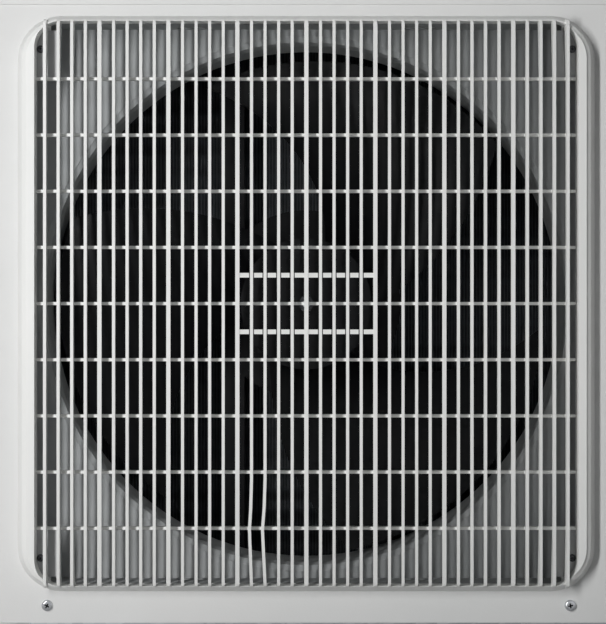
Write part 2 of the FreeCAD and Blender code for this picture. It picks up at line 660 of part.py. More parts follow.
add(fan_guard, "plain_ribs", "XZ", f"{guard_front_y} + 1", f"{guard_front_y} + 5", plain_ribs)


def ears(s):
    for side in (-1, 1):
        for level in (-1, 1):
            low, high = sorted((f"outlet_x + {side} * ({open_half_x} + 1)",
                                f"outlet_x + {side} * ({open_half_x} - tab_width)"), key=value)
            bottom, top = sorted((f"outlet_z + {level} * ({open_half_z} - 8)",
                                  f"outlet_z + {level} * ({open_half_z} - 11 - tab_height)"), key=value)
            rectangle(s, low, high, bottom, top)


add(fan_guard, "ears", "XZ", f"{face_y} - ear_thickness", face_y, ears)


def ear_holes(s):
    for across, up in guard_spots:
        circle(s, across, up, "screw_radius + 0.2")


take(fan_guard, "ear_holes", "XZ", f"{face_y} - ear_thickness - 1", f"{face_y} + 1", ear_holes)

group("guard_screws", [screw(f"guard_screw_{number}", across, f"{face_y} - ear_thickness", up, "Y",
                             "screw_head", "screw_head_height", "screw_radius", "ear_thickness + 8")
                       for number, (across, up) in enumerate(guard_spots, start=1)])
group("front_panel_screws", [screw(f"front_panel_screw_{number}", across, face_y, up, "Y",
                                   "panel_screw_head", "panel_screw_head_height", "panel_screw_radius",
                                   "panel_sheet + 9")
                             for number, (across, up) in enumerate(panel_spots, start=1)])


# Service panel: the front right corner, held by its screws, with a pressed hand grip
service_panel = new_body("service_panel")
service_high = f"({panel_high} - seam)"
add(service_panel, "face", "XZ", face_y, f"{face_y} + panel_sheet",
    lambda s: rectangle(s, f"{seam_x} + seam", right_x, panel_low, service_high))
add(service_panel, "return", "YZ", f"{right_x} - panel_sheet", right_x,
    lambda s: rectangle(s, face_y, f"{face_y} + service_return", panel_low, service_high))
add(service_panel, "seam_fold", "YZ", f"{seam_x} + seam", f"{seam_x} + seam + panel_sheet",
    lambda s: rectangle(s, face_y, f"{face_y} + edge_fold", fold_low, service_high))
round_corner(service_panel, right_x, -1, face_y, 1)


def service_holes(s):
    for across, up in service_spots:
        circle(s, across, up, "panel_screw_radius + 0.05")


take(service_panel, "screw_holes", "XZ", f"{face_y} - 1", f"{face_y} + panel_sheet + 1", service_holes)
group("service_screws", [screw(f"service_screw_{number}", across, face_y, up, "Y", "panel_screw_head",
                               "panel_screw_head_height", "panel_screw_radius", "panel_sheet + 8")
                         for number, (across, up) in enumerate(service_spots, start=1)])

# Side panel: the right side and the closed part of the back in one folded sheet. The valve plate and
# the cable entry sit in its cut-out.
side_panel = new_body("side_panel")
side_front = f"({face_y} + service_return + seam)"
add(side_panel, "side", "YZ", f"{right_x} - panel_sheet", right_x,
    lambda s: rectangle(s, side_front, back_y, panel_low, lid_floor))
add(side_panel, "back", "XZ", f"{back_y} - panel_sheet", back_y,
    lambda s: rectangle(s, "back_panel_x", right_x, panel_low, lid_floor))
round_corner(side_panel, right_x, -1, back_y, -1)
take(side_panel, "valve_window", "YZ", f"{right_x} - panel_sheet - 1", f"{right_x} + 1",
     lambda s: rounded(s, "(cover_front + cover_back) / 2", "(cover_low + cover_high) / 2",
                       "(cover_back - cover_front - 16)", "(cover_high - cover_low - 16)", 8))


def louvres(s):
    for number in range(6):
        slot(s, "(back_panel_x + 110)", f"{panel_high} - 60 - {number} * 14", 70, 5)


take(side_panel, "louvres", "XZ", f"{back_y} - panel_sheet - 1", f"{back_y} + 1", louvres)

# Valve plate behind the window, and the cover that lifts off over the valves
valve_x = f"({right_x} - panel_sheet - valve_plate)"
valve_plate = new_body("valve_plate")
add(valve_plate, "plate", "YZ", valve_x, f"{right_x} - panel_sheet",
    lambda s: rectangle(s, "cover_front - 4", "cover_back + 4", fold_low, "cover_high + 8"))
valve_levels = [f"(valve_low + {number} * valve_pitch)" for number in range(int(value("valve_count")))]


def valve_holes(s):
    for level in valve_levels:
        circle(s, "gas_valve_y", level, "valve_body + 0.3")
        circle(s, "liquid_valve_y", level, "valve_body + 0.3")


take(valve_plate, "valve_holes", "YZ", f"{valve_x} - 1", f"{right_x} + 1", valve_holes)

valve_cover = new_body("valve_cover")
cover_y, cover_z = "((cover_front + cover_back) / 2)", "((cover_low + cover_high) / 2)"
cover_width, cover_rise = "(cover_back - cover_front)", "(cover_high - cover_low)"
cover_out = f"({right_x} + cover_reach)"
add(valve_cover, "shell", "YZ", right_x, cover_out,
    lambda s: rounded(s, cover_y, cover_z, cover_width, cover_rise, 14))
take(valve_cover, "hollow", "YZ", f"{right_x} - 1", f"{cover_out} - cover_wall",
     lambda s: rounded(s, cover_y, cover_z, f"({cover_width} - 2 * cover_wall)",
                       f"({cover_rise} - 2 * cover_wall)", "(14 - cover_wall)"))
take(valve_cover, "pipe_gap", "YZ", f"{right_x} - 1", f"{cover_out} + 1",
     lambda s: rectangle(s, "gas_valve_y + 20", "cover_back + 1", "cover_low - 1", "cover_low + 150"))


# Coil: one slab of fins bent round the left rear corner, its end plates, bends and guards
coil_low = f"{pan_top}"
coil_high = f"({lid_floor} - coil_top_gap)"
coil_left = f"({left_x} + coil_inset)"
coil_back = "(coil_front_y + coil_thickness)"
coil_fins = new_body("coil_fins")


def slab(s):
    outline(s, [(coil_left, "coil_front_end_y"), (f"{coil_left} + coil_thickness", "coil_front_end_y"),
                (f"{coil_left} + coil_thickness", "coil_front_y"), ("coil_end_x", "coil_front_y"),
                ("coil_end_x", coil_back), (coil_left, coil_back)])


add(coil_fins, "slab", "XY", coil_low, coil_high, slab)
round_edges(coil_fins, "outer_bend", "coil_bend", "Z", x=[coil_left], y=[coil_back])
round_edges(coil_fins, "inner_bend", "coil_bend - coil_thickness", "Z",
            x=[f"{coil_left} + coil_thickness"], y=["coil_front_y"])
row_y = ["(coil_front_y + coil_thickness / 4)", "(coil_front_y + coil_thickness * 3 / 4)"]
row_x = [f"({coil_left} + coil_thickness / 4)", f"({coil_left} + coil_thickness * 3 / 4)"]
tube_count = int((value(coil_high) - value(coil_low)) / value("tube_pitch"))
tube_levels = [f"({coil_low} + tube_pitch / 2 + {number} * tube_pitch)" for number in range(tube_count)]
group("coil_end_plates", [
    block("coil_right_plate", "coil_end_x", "coil_front_y - 2", coil_low, "end_plate", "coil_thickness + 2",
          f"{coil_high} - {coil_low}"),
    block("coil_left_plate", coil_left, "coil_front_end_y - end_plate", coil_low, "coil_thickness + 2",
          "end_plate", f"{coil_high} - {coil_low}")])


def return_bends(spots, way):
    """Half rings between two tubes, standing out of an end plate."""
    bends = []
    radius = value("tube_radius")
    ring = value("tube_pitch") / 2
    side = V(0, 0, 1).cross(way)
    for x, y, low in spots:
        start = V(value(x), value(y), value(low))
        middle = start + V(0, 0, ring)
        corners = [start + (V(0, 0, 1) * math.cos(turn) + side * math.sin(turn)) * radius
                   for turn in (math.radians(60 * step + 30) for step in range(6))]
        section = Part.Face(Part.makePolygon(corners + corners[:1]))
        stations = [(way * math.sin(turn) - V(0, 0, 1) * math.cos(turn)) * ring
                    for turn in (math.radians(45 * step) for step in range(5))]
        wires = []
        for step, spot in enumerate(stations):
            ringed = section.OuterWire.copy()
            ringed.rotate(middle, side, -45 * step)
            wires.append(ringed)
        bends.append(Part.makeLoft(wires, True, True))
    return bends


right_bends = return_bends([("coil_end_x + end_plate", row_y[row], tube_levels[level])
                            for row in (0, 1) for level in range(row, tube_count - 1, 2)], V(1, 0, 0))
left_bends = return_bends([(row_x[0], "coil_front_end_y - end_plate", tube_levels[level])
                           for level in range(0, tube_count - 1, 2)], V(0, -1, 0))
shaped("return_bends", Part.makeCompound(right_bends + left_bends))

# Fan motor bracket: two pressed rails from the pan to the lid, joined by a ring plate for the motor
bracket = new_body("motor_bracket")
rail_front_y = "(motor_front + motor_length)"
rail_back_y = f"({rail_front_y} + rail_depth)"


def rails(s):
    for side in (-1, 1):
        across = f"outlet_x + {side} * rail_span / 2"
        centred(s, across, f"({pan_top} + {lid_floor}) / 2", "rail_width", f"({lid_floor} - {pan_top})")


def rail_hollows(s):
    for side in (-1, 1):
        across = f"outlet_x + {side} * rail_span / 2"
        centred(s, across, f"({pan_top} + {lid_floor}) / 2", "(rail_width - 2 * bracket_sheet)",
                f"({lid_floor} - {pan_top} + 2)")


add(bracket, "rails", "XZ", rail_front_y, rail_back_y, rails)
take(bracket, "rail_hollows", "XZ", f"{rail_front_y} + bracket_sheet", f"{rail_back_y} + 1", rail_hollows)
add(bracket, "ring", "XZ", rail_front_y, f"{rail_front_y} + bracket_sheet",
    lambda s: circle(s, "outlet_x", "outlet_z", "bracket_ring"))
take(bracket, "ring_hole", "XZ", f"{rail_front_y} - 1", f"{rail_front_y} + rail_depth + 1",
     lambda s: circle(s, "outlet_x", "outlet_z", "motor_radius * 0.55"))
motor_spots = [(f"(outlet_x + motor_flange * {round(math.cos(math.radians(turn)), 6)})",
                f"(outlet_z + motor_flange * {round(math.sin(math.radians(turn)), 6)})")
               for turn in (45, 135, 225, 315)]


def motor_holes(s):
    for across, up in motor_spots:
        circle(s, across, up, "screw_radius + 0.05")


take(bracket, "motor_holes", "XZ", f"{rail_front_y} - 1", f"{rail_front_y} + bracket_sheet + 1", motor_holes)

# Fan motor: a moulded drum with four ears and a front bearing boss
fan_motor = new_body("fan_motor")
turn(fan_motor, "drum", "XY", "outlet_z",
     lambda s: outline(s, [("shaft_radius + 0.05", "motor_front - 6"), (14, "motor_front - 6"),
                           (16, "motor_front"), ("motor_radius - 8", "motor_front"),
                           ("motor_radius", "motor_front + 10"), ("motor_radius", rail_front_y),
                           ("shaft_radius + 0.05", rail_front_y)]), "V_Axis", "outlet_x")


def motor_ears(s):
    for across, up in motor_spots:
        centred(s, across, up, 24, 24)


add(fan_motor, "ears", "XZ", f"{rail_front_y} - 6", rail_front_y, motor_ears)
take(fan_motor, "ear_holes", "XZ", f"{rail_front_y} - 7", f"{rail_front_y} + 1", motor_holes)
group("motor_screws", [screw(f"motor_screw_{number}", across, f"{rail_front_y} - 6", up, "Y", "screw_head",
                             "screw_head_height", "screw_radius", "6 + bracket_sheet + 4")
                       for number, (across, up) in enumerate(motor_spots, start=1)])
# Fan rotor: a cup hub with three swept blades moulded in one piece, its shaft and nut
hub_front_y = "(0 - fan_front + 4)"
hub = join("fan_hub", [
    cut("fan_hub_cup", rod("fan_hub_outside", "outlet_x", hub_front_y, "outlet_z", "hub_radius", "hub_depth", "Y"),
        rod("fan_hub_inside", "outlet_x", f"{hub_front_y} + hub_wall * 2", "outlet_z", "hub_radius - hub_wall",
            "hub_depth", "Y")),
    rod("fan_hub_boss", "outlet_x", hub_front_y, "outlet_z", "shaft_radius * 3", "hub_depth - 6", "Y")])
hub_bored = cut("fan_hub_bored", hub, rod("fan_hub_bore", "outlet_x", f"{hub_front_y} - 1", "outlet_z",
                                          "shaft_radius + 0.05", "hub_depth + 2", "Y"))


def blade_point(outward, along, offset):
    """A point of a blade: outward from hub to tip and along from trailing to leading edge, each 0 to 1."""
    inner = value("hub_radius") - 1
    reach = inner + outward * (value("fan_radius") - inner)
    trail = value("blade_start") + value("trail_sweep") * outward ** 0.65
    lead = value("blade_start") + value("blade_span") + value("lead_sweep") * outward
    angle = math.radians(trail + along * (lead - trail))
    chord = value("fan_chord") * (1 - 0.12 * outward)
    fold = value("tip_fold") * max(0, outward - 0.8) / 0.2
    belly = 0.07 * chord * math.sin(math.pi * along)
    depth = -value("fan_front") + chord * along - belly + fold + offset
    return V(reach * math.cos(angle), depth, reach * math.sin(angle))


def blade_skin(offset):
    stations = [0, 0.2, 0.4, 0.6, 0.8, 0.9, 1]
    steps = [0, 0.15, 0.35, 0.55, 0.75, 0.9, 1]
    rows = [[blade_point(outward, along, offset) for along in steps] for outward in stations]
    surface = Part.BSplineSurface()
    surface.interpolate(rows)
    return surface.toShape()


def blade():
    front = blade_skin(-value("blade_thickness") * 0.7)
    back = blade_skin(value("blade_thickness") * 0.7)
    faces = [front, back]
    for first in front.Edges:
        match = min(back.Edges, key=lambda edge: (edge.CenterOfMass - first.CenterOfMass).Length)
        faces.append(Part.makeRuledSurface(first, match))
    shell = Part.makeShell(faces)
    shell.sewShape()
    return Part.makeSolid(shell)


centre = V(value("outlet_x"), 0, value("outlet_z"))
blades = []
for number in range(int(value("blade_count"))):
    one = blade()
    one.translate(centre)
    one.rotate(centre, V(0, -1, 0), number * 360 / value("blade_count"))
    blades.append(one)
join("fan", [hub_bored, shaped("fan_blades", Part.makeCompound(blades))])
shaft_front_y = f"({rail_front_y} - shaft_length)"
rod("motor_shaft", "outlet_x", shaft_front_y, "outlet_z", "shaft_radius", "shaft_length", "Y")
nut_depth = f"({hub_front_y} - {shaft_front_y} - 2)"
nut = doc.addObject("Part::Prism", "fan_nut_hexagon")
nut.Polygon = 6
nut.setExpression("Circumradius", formula("fan_nut_radius"))
nut.setExpression("Height", formula(nut_depth))
put(nut, "outlet_x", f"{hub_front_y} - {nut_depth}", "outlet_z", "Y")
cut("fan_nut", nut, rod("fan_nut_thread", "outlet_x", f"{hub_front_y} - 12", "outlet_z",
                        "shaft_radius + 0.05", 14, "Y"))

# Partition between the fan and the compressor
partition = new_body("partition")
add(partition, "plate", "YZ", "partition_x", "partition_x + panel_sheet",
    lambda s: rectangle(s, f"{inside_front} + pan_sheet", "coil_front_y - seam", pan_top, lid_floor))
add(partition, "front_fold", "XZ", f"{inside_front} + pan_sheet", f"{inside_front} + pan_sheet + panel_sheet",
    lambda s: rectangle(s, "partition_x", "partition_x + edge_fold", pan_top, lid_floor))

# Compressor on three rubber feet, its accumulator and terminal cover
compressor_low = f"({pan_top} + compressor_lift)"
compressor_top = f"({compressor_low} + compressor_height)"
compressor = new_body("compressor")
turn(compressor, "shell", "XZ", "compressor_y",
     lambda s: outline(s, [(0, compressor_low), ("compressor_radius - 14", compressor_low),
                           ("compressor_radius", f"{compressor_low} + 16"),
                           ("compressor_radius", f"{compressor_top} - 34"),
                           ("compressor_radius - 5", f"{compressor_top} - 16"),
                           ("compressor_radius - 22", f"{compressor_top} - 4"), (0, compressor_top)]),
     "V_Axis", "compressor_x")
foot_spots = [(f"(compressor_x + (compressor_radius + 20) * {round(math.cos(math.radians(turn_by)), 6)})",
               f"(compressor_y + (compressor_radius + 20) * {round(math.sin(math.radians(turn_by)), 6)})")
              for turn_by in (90, 210, 330)]


def foot_plates(s):
    for across, deep in foot_spots:
        circle(s, across, deep, 15)


def foot_arms(s):
    outline(s, foot_spots)


add(compressor, "foot_arms", "XY", f"{compressor_low} - 3", compressor_low, foot_arms)
add(compressor, "foot_plates", "XY", f"{compressor_low} - 3", compressor_low, foot_plates)


def foot_bores(s):
    for across, deep in foot_spots:
        circle(s, across, deep, 4)


take(compressor, "foot_bores", "XY", f"{compressor_low} - 4", f"{compressor_low} + 1", foot_bores)
group("compressor_grommets",
      [cut(f"grommet_{number}", cone(f"grommet_{number}_cone", across, deep, pan_top, 12, 10,
                                     f"{compressor_low} - 3 - {pan_top}"),
           rod(f"grommet_{number}_bore", across, deep, f"{pan_top} - 1", 3.2, 30))
       for number, (across, deep) in enumerate(foot_spots, start=1)])
group("compressor_bolts",
      [join(f"compressor_bolt_{number}", [rod(f"bolt_{number}_stem", across, deep, pan_top, 3, "compressor_lift + 12"),
                                          rod(f"bolt_{number}_nut", across, deep, compressor_low, 6.5, 5)])
       for number, (across, deep) in enumerate(foot_spots, start=1)])
join("terminal_cover", [rod("terminal_cover_body", "compressor_x + 8", "compressor_y", compressor_top, 22, 24),
                        rod("terminal_cover_nut", "compressor_x + 8", "compressor_y", f"{compressor_top} + 24", 5, 7)])
accumulator_y = "(compressor_y - compressor_radius - accumulator_radius - 3)"
accumulator_low = f"({compressor_low} + 44)"
accumulator_top = f"({accumulator_low} + accumulator_height)"
join("accumulator", [
    block("accumulator_bracket", "compressor_x - 9", f"{accumulator_y} + accumulator_radius - 1",
          f"{accumulator_low} + 90", 18, 4, 22),
    cone("accumulator_foot", "compressor_x", accumulator_y, f"{accumulator_low} - 16", 8, "accumulator_radius", 16),
    rod("accumulator_drum", "compressor_x", accumulator_y, accumulator_low, "accumulator_radius", "accumulator_height"),
    cone("accumulator_head", "compressor_x", accumulator_y, accumulator_top, "accumulator_radius", 8, 16)])

# Refrigerant circuit: the reversing valve over the compressor, manifolds, expansion valves and pipes
reversing_z = f"({compressor_top} + 74)"
reversing_y = "(compressor_y + 62)"
pipe = "suction_pipe_radius"
join("reversing_valve", [
    rod("reversing_body", "compressor_x - 48", reversing_y, reversing_z, 13, 96, "X"),
    rod("reversing_stub_top", "compressor_x", reversing_y, f"{reversing_z} + 10", 7, 18),
    rod("reversing_stub_left", "compressor_x - 24", reversing_y, f"{reversing_z} - 28", 7, 20),
    rod("reversing_stub_middle", "compressor_x", reversing_y, f"{reversing_z} - 28", 7, 20),
    rod("reversing_stub_right", "compressor_x + 24", reversing_y, f"{reversing_z} - 28", 7, 20)])
join("reversing_coil", [
    rod("reversing_coil_drum", "compressor_x - 10", f"{reversing_y} - 39", reversing_z, 14, 26, "Y"),
    rod("reversing_coil_core", "compressor_x - 10", f"{reversing_y} - 43", reversing_z, 5, 29.8, "Y")])


def pipe_run(radius, *spots):
    """A pipe through spots given as rules."""
    points = [V(value(x), value(y), value(z)) for x, y, z in spots]
    return tube(points, value(radius), value(radius) * 3.2)


discharge_run = pipe_run("discharge_pipe_radius",
         ("compressor_x - 22", "compressor_y", f"{compressor_top} - 2"),
         ("compressor_x - 22", "compressor_y", f"{compressor_top} + 40"),
         ("compressor_x - 44", "compressor_y + 20", f"{compressor_top} + 60"),
         ("compressor_x - 44", reversing_y, f"{reversing_z} + 52"),
         ("compressor_x", reversing_y, f"{reversing_z} + 52"),
         ("compressor_x", reversing_y, f"{reversing_z} + 28"))
shaped("discharge_pipe", discharge_run)
suction_run = pipe_run(pipe,
         ("compressor_x", reversing_y, f"{reversing_z} - 28"),
         ("compressor_x", reversing_y, f"{compressor_top} + 18"),
         ("compressor_x + 46", "compressor_y + 30", f"{compressor_top} + 18"),
         ("compressor_x + 46", accumulator_y, f"{compressor_top} + 18"),
         ("compressor_x", accumulator_y, f"{compressor_top} + 18"),
         ("compressor_x", accumulator_y, f"{accumulator_top} + 14"))
inlet_run = pipe_run(pipe,
         ("compressor_x", accumulator_y, f"{accumulator_low} - 14"),
         ("compressor_x", accumulator_y, f"{accumulator_low} - 34"),
         ("compressor_x", "compressor_y - compressor_radius + 6", f"{accumulator_low} - 34"))
shaped("suction_pipes", Part.makeCompound([suction_run, inlet_run]))
bend_face_x = "(coil_end_x + end_plate + tube_pitch / 2 + tube_radius + seam)"
header_x = "(coil_end_x + end_plate + tube_pitch * 0.62 + 22)"
coil_gas_run = pipe_run(pipe,
         ("compressor_x - 24", reversing_y, f"{reversing_z} - 28"),
         ("compressor_x - 24", reversing_y, f"{compressor_top} + 8"),
         (header_x, "coil_front_y + 4", f"{compressor_top} + 8"),
         (header_x, "coil_front_y + 4", f"{coil_low} + 120"),
         (bend_face_x, row_y[0], f"{coil_low} + 120"))
manifold_x = f"({valve_x} - 34)"
gas_high = f"({valve_levels[-1]} + 34)"
gas_stem = join("gas_stem", [
    rod("gas_manifold_stem", manifold_x, "gas_valve_y + 22", f"{valve_levels[0]} - 10", "gas_flare", f"{gas_high} - {valve_levels[0]} + 10"),
    *[rod(f"gas_branch_{number}", manifold_x, "gas_valve_y + 22", level, "gas_flare * 0.7", 24, "-Y")
      for number, level in enumerate(valve_levels, start=1)]])
gas_run = pipe_run(pipe,
         ("compressor_x + 24", reversing_y, f"{reversing_z} - 28"),
         ("compressor_x + 24", reversing_y, f"{compressor_top} + 4"),
         (manifold_x, "gas_valve_y + 22", f"{compressor_top} - 8"),
         (manifold_x, "gas_valve_y + 22", gas_high))
group("gas_manifold", [gas_stem, shaped("gas_pipe", gas_run)])
expansion_y = [f"(liquid_valve_y - 42 - {number} * 40)" for number in range(int(value("valve_count")))]
expansion_z = f"({valve_levels[-1]} + 40)"
group("expansion_valves", [
    join(f"expansion_valve_{number}", [
        rod(f"expansion_body_{number}", manifold_x, y, expansion_z, 9, 34),
        rod(f"expansion_can_{number}", manifold_x, y, f"{expansion_z} + 34", 7, 34)])
    for number, y in enumerate(expansion_y, start=1)])
group("expansion_coils", [
    cut(f"expansion_coil_{number}", rod(f"expansion_drum_{number}", manifold_x, y, f"{expansion_z} + 38", 17, 22),
        rod(f"expansion_hole_{number}", manifold_x, y, f"{expansion_z} + 37", 7.1, 24))
    for number, y in enumerate(expansion_y, start=1)])
liquid_runs = []
for y, level in zip(expansion_y, valve_levels):
    corners = [(manifold_x, y, expansion_z), (manifold_x, y, level),
               (manifold_x, "liquid_valve_y", level), (f"{valve_x} - 8", "liquid_valve_y", level)]
    if value(y) == value("liquid_valve_y"):
        corners = corners[:2] + corners[3:]
    points = [V(value(a), value(b), value(c)) for a, b, c in corners]
    liquid_runs.append(tube(points, value("liquid_flare") * 0.62, 12))
shaped("liquid_pipes", Part.makeCompound(liquid_runs))
liquid_header_z = f"({expansion_z} + 98)"
coil_liquid_run = pipe_run("liquid_flare * 0.62",
         (manifold_x, expansion_y[1], f"{liquid_header_z} + 5"),
         (manifold_x, expansion_y[1], f"{liquid_header_z} + 30"),
         (f"{header_x} + 2", f"{expansion_y[1]} + 20", f"{liquid_header_z} + 30"),
         (f"{header_x} - 6", row_y[0], f"{liquid_header_z} + 30"),
         (bend_face_x, row_y[0], f"{liquid_header_z} + 30"))

liquid_side = join("coil_liquid_side", [
    shaped("coil_liquid_pipe", coil_liquid_run),
    rod("liquid_header_bar", manifold_x, f"{expansion_y[-1]} - 8", liquid_header_z, "liquid_flare",
        f"{expansion_y[0]} - {expansion_y[-1]} + 16", "Y"),
    *[rod(f"liquid_drop_{number}", manifold_x, y, f"{expansion_z} + 68", 3.2, 28)
      for number, y in enumerate(expansion_y, start=1)]])
group("coil_pipes", [shaped("coil_gas_pipe", coil_gas_run), liquid_side])


# Service valves: brass bodies through the valve plate, a spindle under a cap, a flare nut below
barrel_end = f"({right_x} + valve_reach - 23)"
outlet_at = f"({barrel_end} - 9)"


def service_valves(kind, y, flare):
    bodies, nuts, caps = [], [], []
    for number, level in enumerate(valve_levels, start=1):
        tag = f"{kind}_{number}"
        body = rod(f"{tag}_barrel", f"{valve_x} - 8", y, level, "valve_body", f"{barrel_end} - {valve_x} + 8", "X")
        outlet = rod(f"{tag}_outlet", outlet_at, y, f"{level} - 24", f"{flare} + 1", 23)
        bore = rod(f"{tag}_bore", f"{barrel_end} - 11", y, level, "spindle_radius + 0.05", "valve_reach", "X")
        way = rod(f"{tag}_way", outlet_at, y, f"{level} - 25", f"{flare} * 0.5", 17)
        bodies.append(cut(f"{tag}_valve", join(f"{tag}_casting", [body, outlet]), join(f"{tag}_ways", [bore, way])))
        ring = rod(f"{tag}_nut_outside", outlet_at, y, f"{level} - 40", f"{flare} + 4.5", 22)
        hole = rod(f"{tag}_nut_inside", outlet_at, y, f"{level} - 41", f"{flare} + 1.05", 24)
        nuts.append(cut(f"{tag}_nut", ring, hole))
        shell = rod(f"{tag}_cap_outside", f"{barrel_end} + seam", y, level, "valve_body - 1", 18, "X")
        room = rod(f"{tag}_cap_inside", f"{barrel_end} - 1", y, level, "spindle_radius + 1.4", 13, "X")
        caps.append(cut(f"{tag}_cap", shell, room))
        key = doc.addObject("Part::Prism", f"{tag}_key")
        key.Polygon = 6
        key.setExpression("Circumradius", formula("spindle_radius * 0.6"))
        key.setExpression("Height", "8")
        put(key, f"{barrel_end} + 3", y, level, "X")
        cut(f"{kind}_spindle_{number}",
            rod(f"{tag}_stem", f"{barrel_end} - 10", y, level, "spindle_radius", 18, "X"), key)
    group(f"{kind}_valves", bodies)
    group(f"{kind}_valve_caps", caps)
    return nuts


group("flare_nuts", service_valves("gas", "gas_valve_y", "gas_flare * 0.75")
      + service_valves("liquid", "liquid_valve_y", "liquid_flare * 0.75"))

# Control box over the compressor, with its board, heat sink, reactor and terminal blocks
box_left, box_right = "(partition_x + panel_sheet + 0.3)", f"({right_x} - panel_sheet - 4)"
box_front, box_back = f"({face_y} + edge_fold + 1)", f"({face_y} + edge_fold + 1 + box_depth)"
control_box = new_body("control_box")
add(control_box, "tray", "XY", "box_low", "box_high",
    lambda s: rectangle(s, box_left, box_right, box_front, box_back))
take(control_box, "hollow", "XY", "box_low + panel_sheet", "box_high + 1",
     lambda s: rectangle(s, f"{box_left} + panel_sheet", f"{box_right} - panel_sheet",
                         f"{box_front} + panel_sheet", f"{box_back} - panel_sheet"))
join("terminal_plate", [
    block("terminal_sheet", f"{box_left} + 30", f"{box_front} + 22", "box_low - 92",
          f"{box_right} - {box_left} - 56", "panel_sheet", "92 - seam"),
    block("terminal_fold", f"{box_left} + 30", f"{box_front} + 22", "box_low - panel_sheet - seam",
          f"{box_right} - {box_left} - 56", 16, "panel_sheet")])
board = join("control_board", [
    block("board_sheet", f"{box_left} + 12", f"{box_front} + 12", "box_low + panel_sheet + 8",
          f"{box_right} - {box_left} - 24", "box_depth - 24", 1.6),
    *[block(f"board_post_{x}_{y}", f"{box_left} + {x}", f"{box_front} + {y}", "box_low + panel_sheet", 6, 6, 8)
      for x in (16, 198) for y in (16, 174)],
    *[rod(f"board_capacitor_{number}", f"{box_left} + 50 + {number} * 30", f"{box_front} + 150",
          "box_low + panel_sheet + 9.6", 12, 38) for number in range(3)],
    block("board_filter", f"{box_left} + 150", f"{box_front} + 40", "box_low + panel_sheet + 9.6", 40, 34, 28),
    block("board_relay", f"{box_left} + 34", f"{box_front} + 40", "box_low + panel_sheet + 9.6", 22, 28, 18)])
sink_low = "(box_low + 42)"
heat_sink = new_body("heat_sink")
add(heat_sink, "base", "YZ", "partition_x - 6", "partition_x",
    lambda s: rectangle(s, -46, 40, sink_low, f"{sink_low} + 92"))
fin = add(heat_sink, "fin", "YZ", "partition_x - 52", "partition_x - 6",
          lambda s: rectangle(s, -46, -43.8, sink_low, f"{sink_low} + 92"))
repeat(heat_sink, "fins", fin, "H_Axis", 7.6, 12)
block("reactor", "partition_x + panel_sheet", 20, "box_low - 78", 42, 66, 54)
blocks = []
for number in range(int(value("valve_count")) + 1):
    left = f"({box_left} + 36 + {number} * 40)"
    base = block(f"terminal_base_{number}", left, f"{box_front} + 8", "box_low - 70", 34, 14, 30)
    blocks.append(cut(f"terminal_block_{number}", base, join(f"terminal_slots_{number}", [
        block(f"terminal_slot_{number}_{post}", f"{left} + 2 + {post} * 8", f"{box_front} + 7", "box_low - 71",
              6, 9, 32) for post in range(4)])))
group("terminal_blocks", blocks)
group("terminal_screws", [
    rod(f"terminal_screw_{number}_{post}", f"{box_left} + 41 + {number} * 40 + {post} * 8", f"{box_front} + 13",
        f"box_low - {55 if post % 2 else 47}", 2.4, 3, "Y")
    for number in range(int(value("valve_count")) + 1) for post in range(4)])
block("cable_clamp", f"{box_left} + 40", f"{box_front} + 10", "box_low - 88", 150, 12, 10)

# Guards over the open coil faces, and the corner post at the left rear
corner_post = new_body("corner_post")
add(corner_post, "side", "YZ", left_x, f"{left_x} + panel_sheet",
    lambda s: rectangle(s, f"{back_y} - post_width", back_y, panel_low, lid_floor))
add(corner_post, "back", "XZ", f"{back_y} - panel_sheet", back_y,
    lambda s: rectangle(s, left_x, f"{left_x} + post_width", panel_low, lid_floor))
round_corner(corner_post, left_x, 1, back_y, -1)


def lattice(name, plane, start, end, low, high, inner, outer, upright_step):
    """A guard of flat uprights and cross bars in one plane."""
    mesh = new_body(name)
    bar = "guard_wire"
    upright = add(mesh, "upright", plane, inner, outer,
                  lambda s: rectangle(s, start, f"{start} + {bar}", low, high))
    count = int((value(end) - value(start) - value(bar)) / upright_step)
    step = (value(end) - value(start) - value(bar)) / count
    repeat(mesh, "uprights", upright, "H_Axis", step, count + 1)
    cross = add(mesh, "cross", plane, inner, outer,
                lambda s: rectangle(s, start, end, low, f"{low} + {bar}"))
    rows = int((value(high) - value(low) - value(bar)) / 60)
    rise = (value(high) - value(low) - value(bar)) / rows
    repeat(mesh, "crosses", cross, "V_Axis", rise, rows + 1)


lattice("rear_guard", "XZ", f"({left_x} + post_width + 0.3)", "(back_panel_x - 0.3)", f"({pan_top} + pan_wall + 1)",
        f"({lid_floor} - 4)", f"({back_y} - 4)", f"({back_y} - 1)", 32)
lattice("side_guard", "YZ", f"({face_y} + front_return + 0.3)", f"({back_y} - post_width - 0.3)",
        f"({pan_top} + pan_wall + 1)", f"({lid_floor} - 4)", f"({left_x} + 1)", f"({left_x} + 4)", 32)
# Checks and files
def finish():
    doc.recompute()
    broken = [item.Name for item in doc.Objects if "Invalid" in item.State or "Error" in item.State]
    if broken:
        raise RuntimeError(f"failed objects: {broken}")
    os.makedirs("parts", exist_ok=True)
    used = {link.Name for item in doc.Objects if not item.isDerivedFrom("PartDesign::Body")
            for link in item.OutList}
    total = 0
    for item in doc.Objects:
        kept = item.isDerivedFrom("PartDesign::Body") or item.isDerivedFrom("Part::Feature")
        if not kept or item.getParentGeoFeatureGroup() or item.Name in used:
            continue
        if item.isDerivedFrom("Sketcher::SketchObject"):
            continue
        shape = item.Shape
        if shape.isNull() or not shape.isValid() or not shape.Solids:
            raise RuntimeError(f"{item.Label} has no valid solid")
        shape.exportStep(f"parts/{item.Label}.step")
        total += 1
        print(item.Label, len(shape.Solids), round(shape.Volume))
    print(total, "parts")


finish()
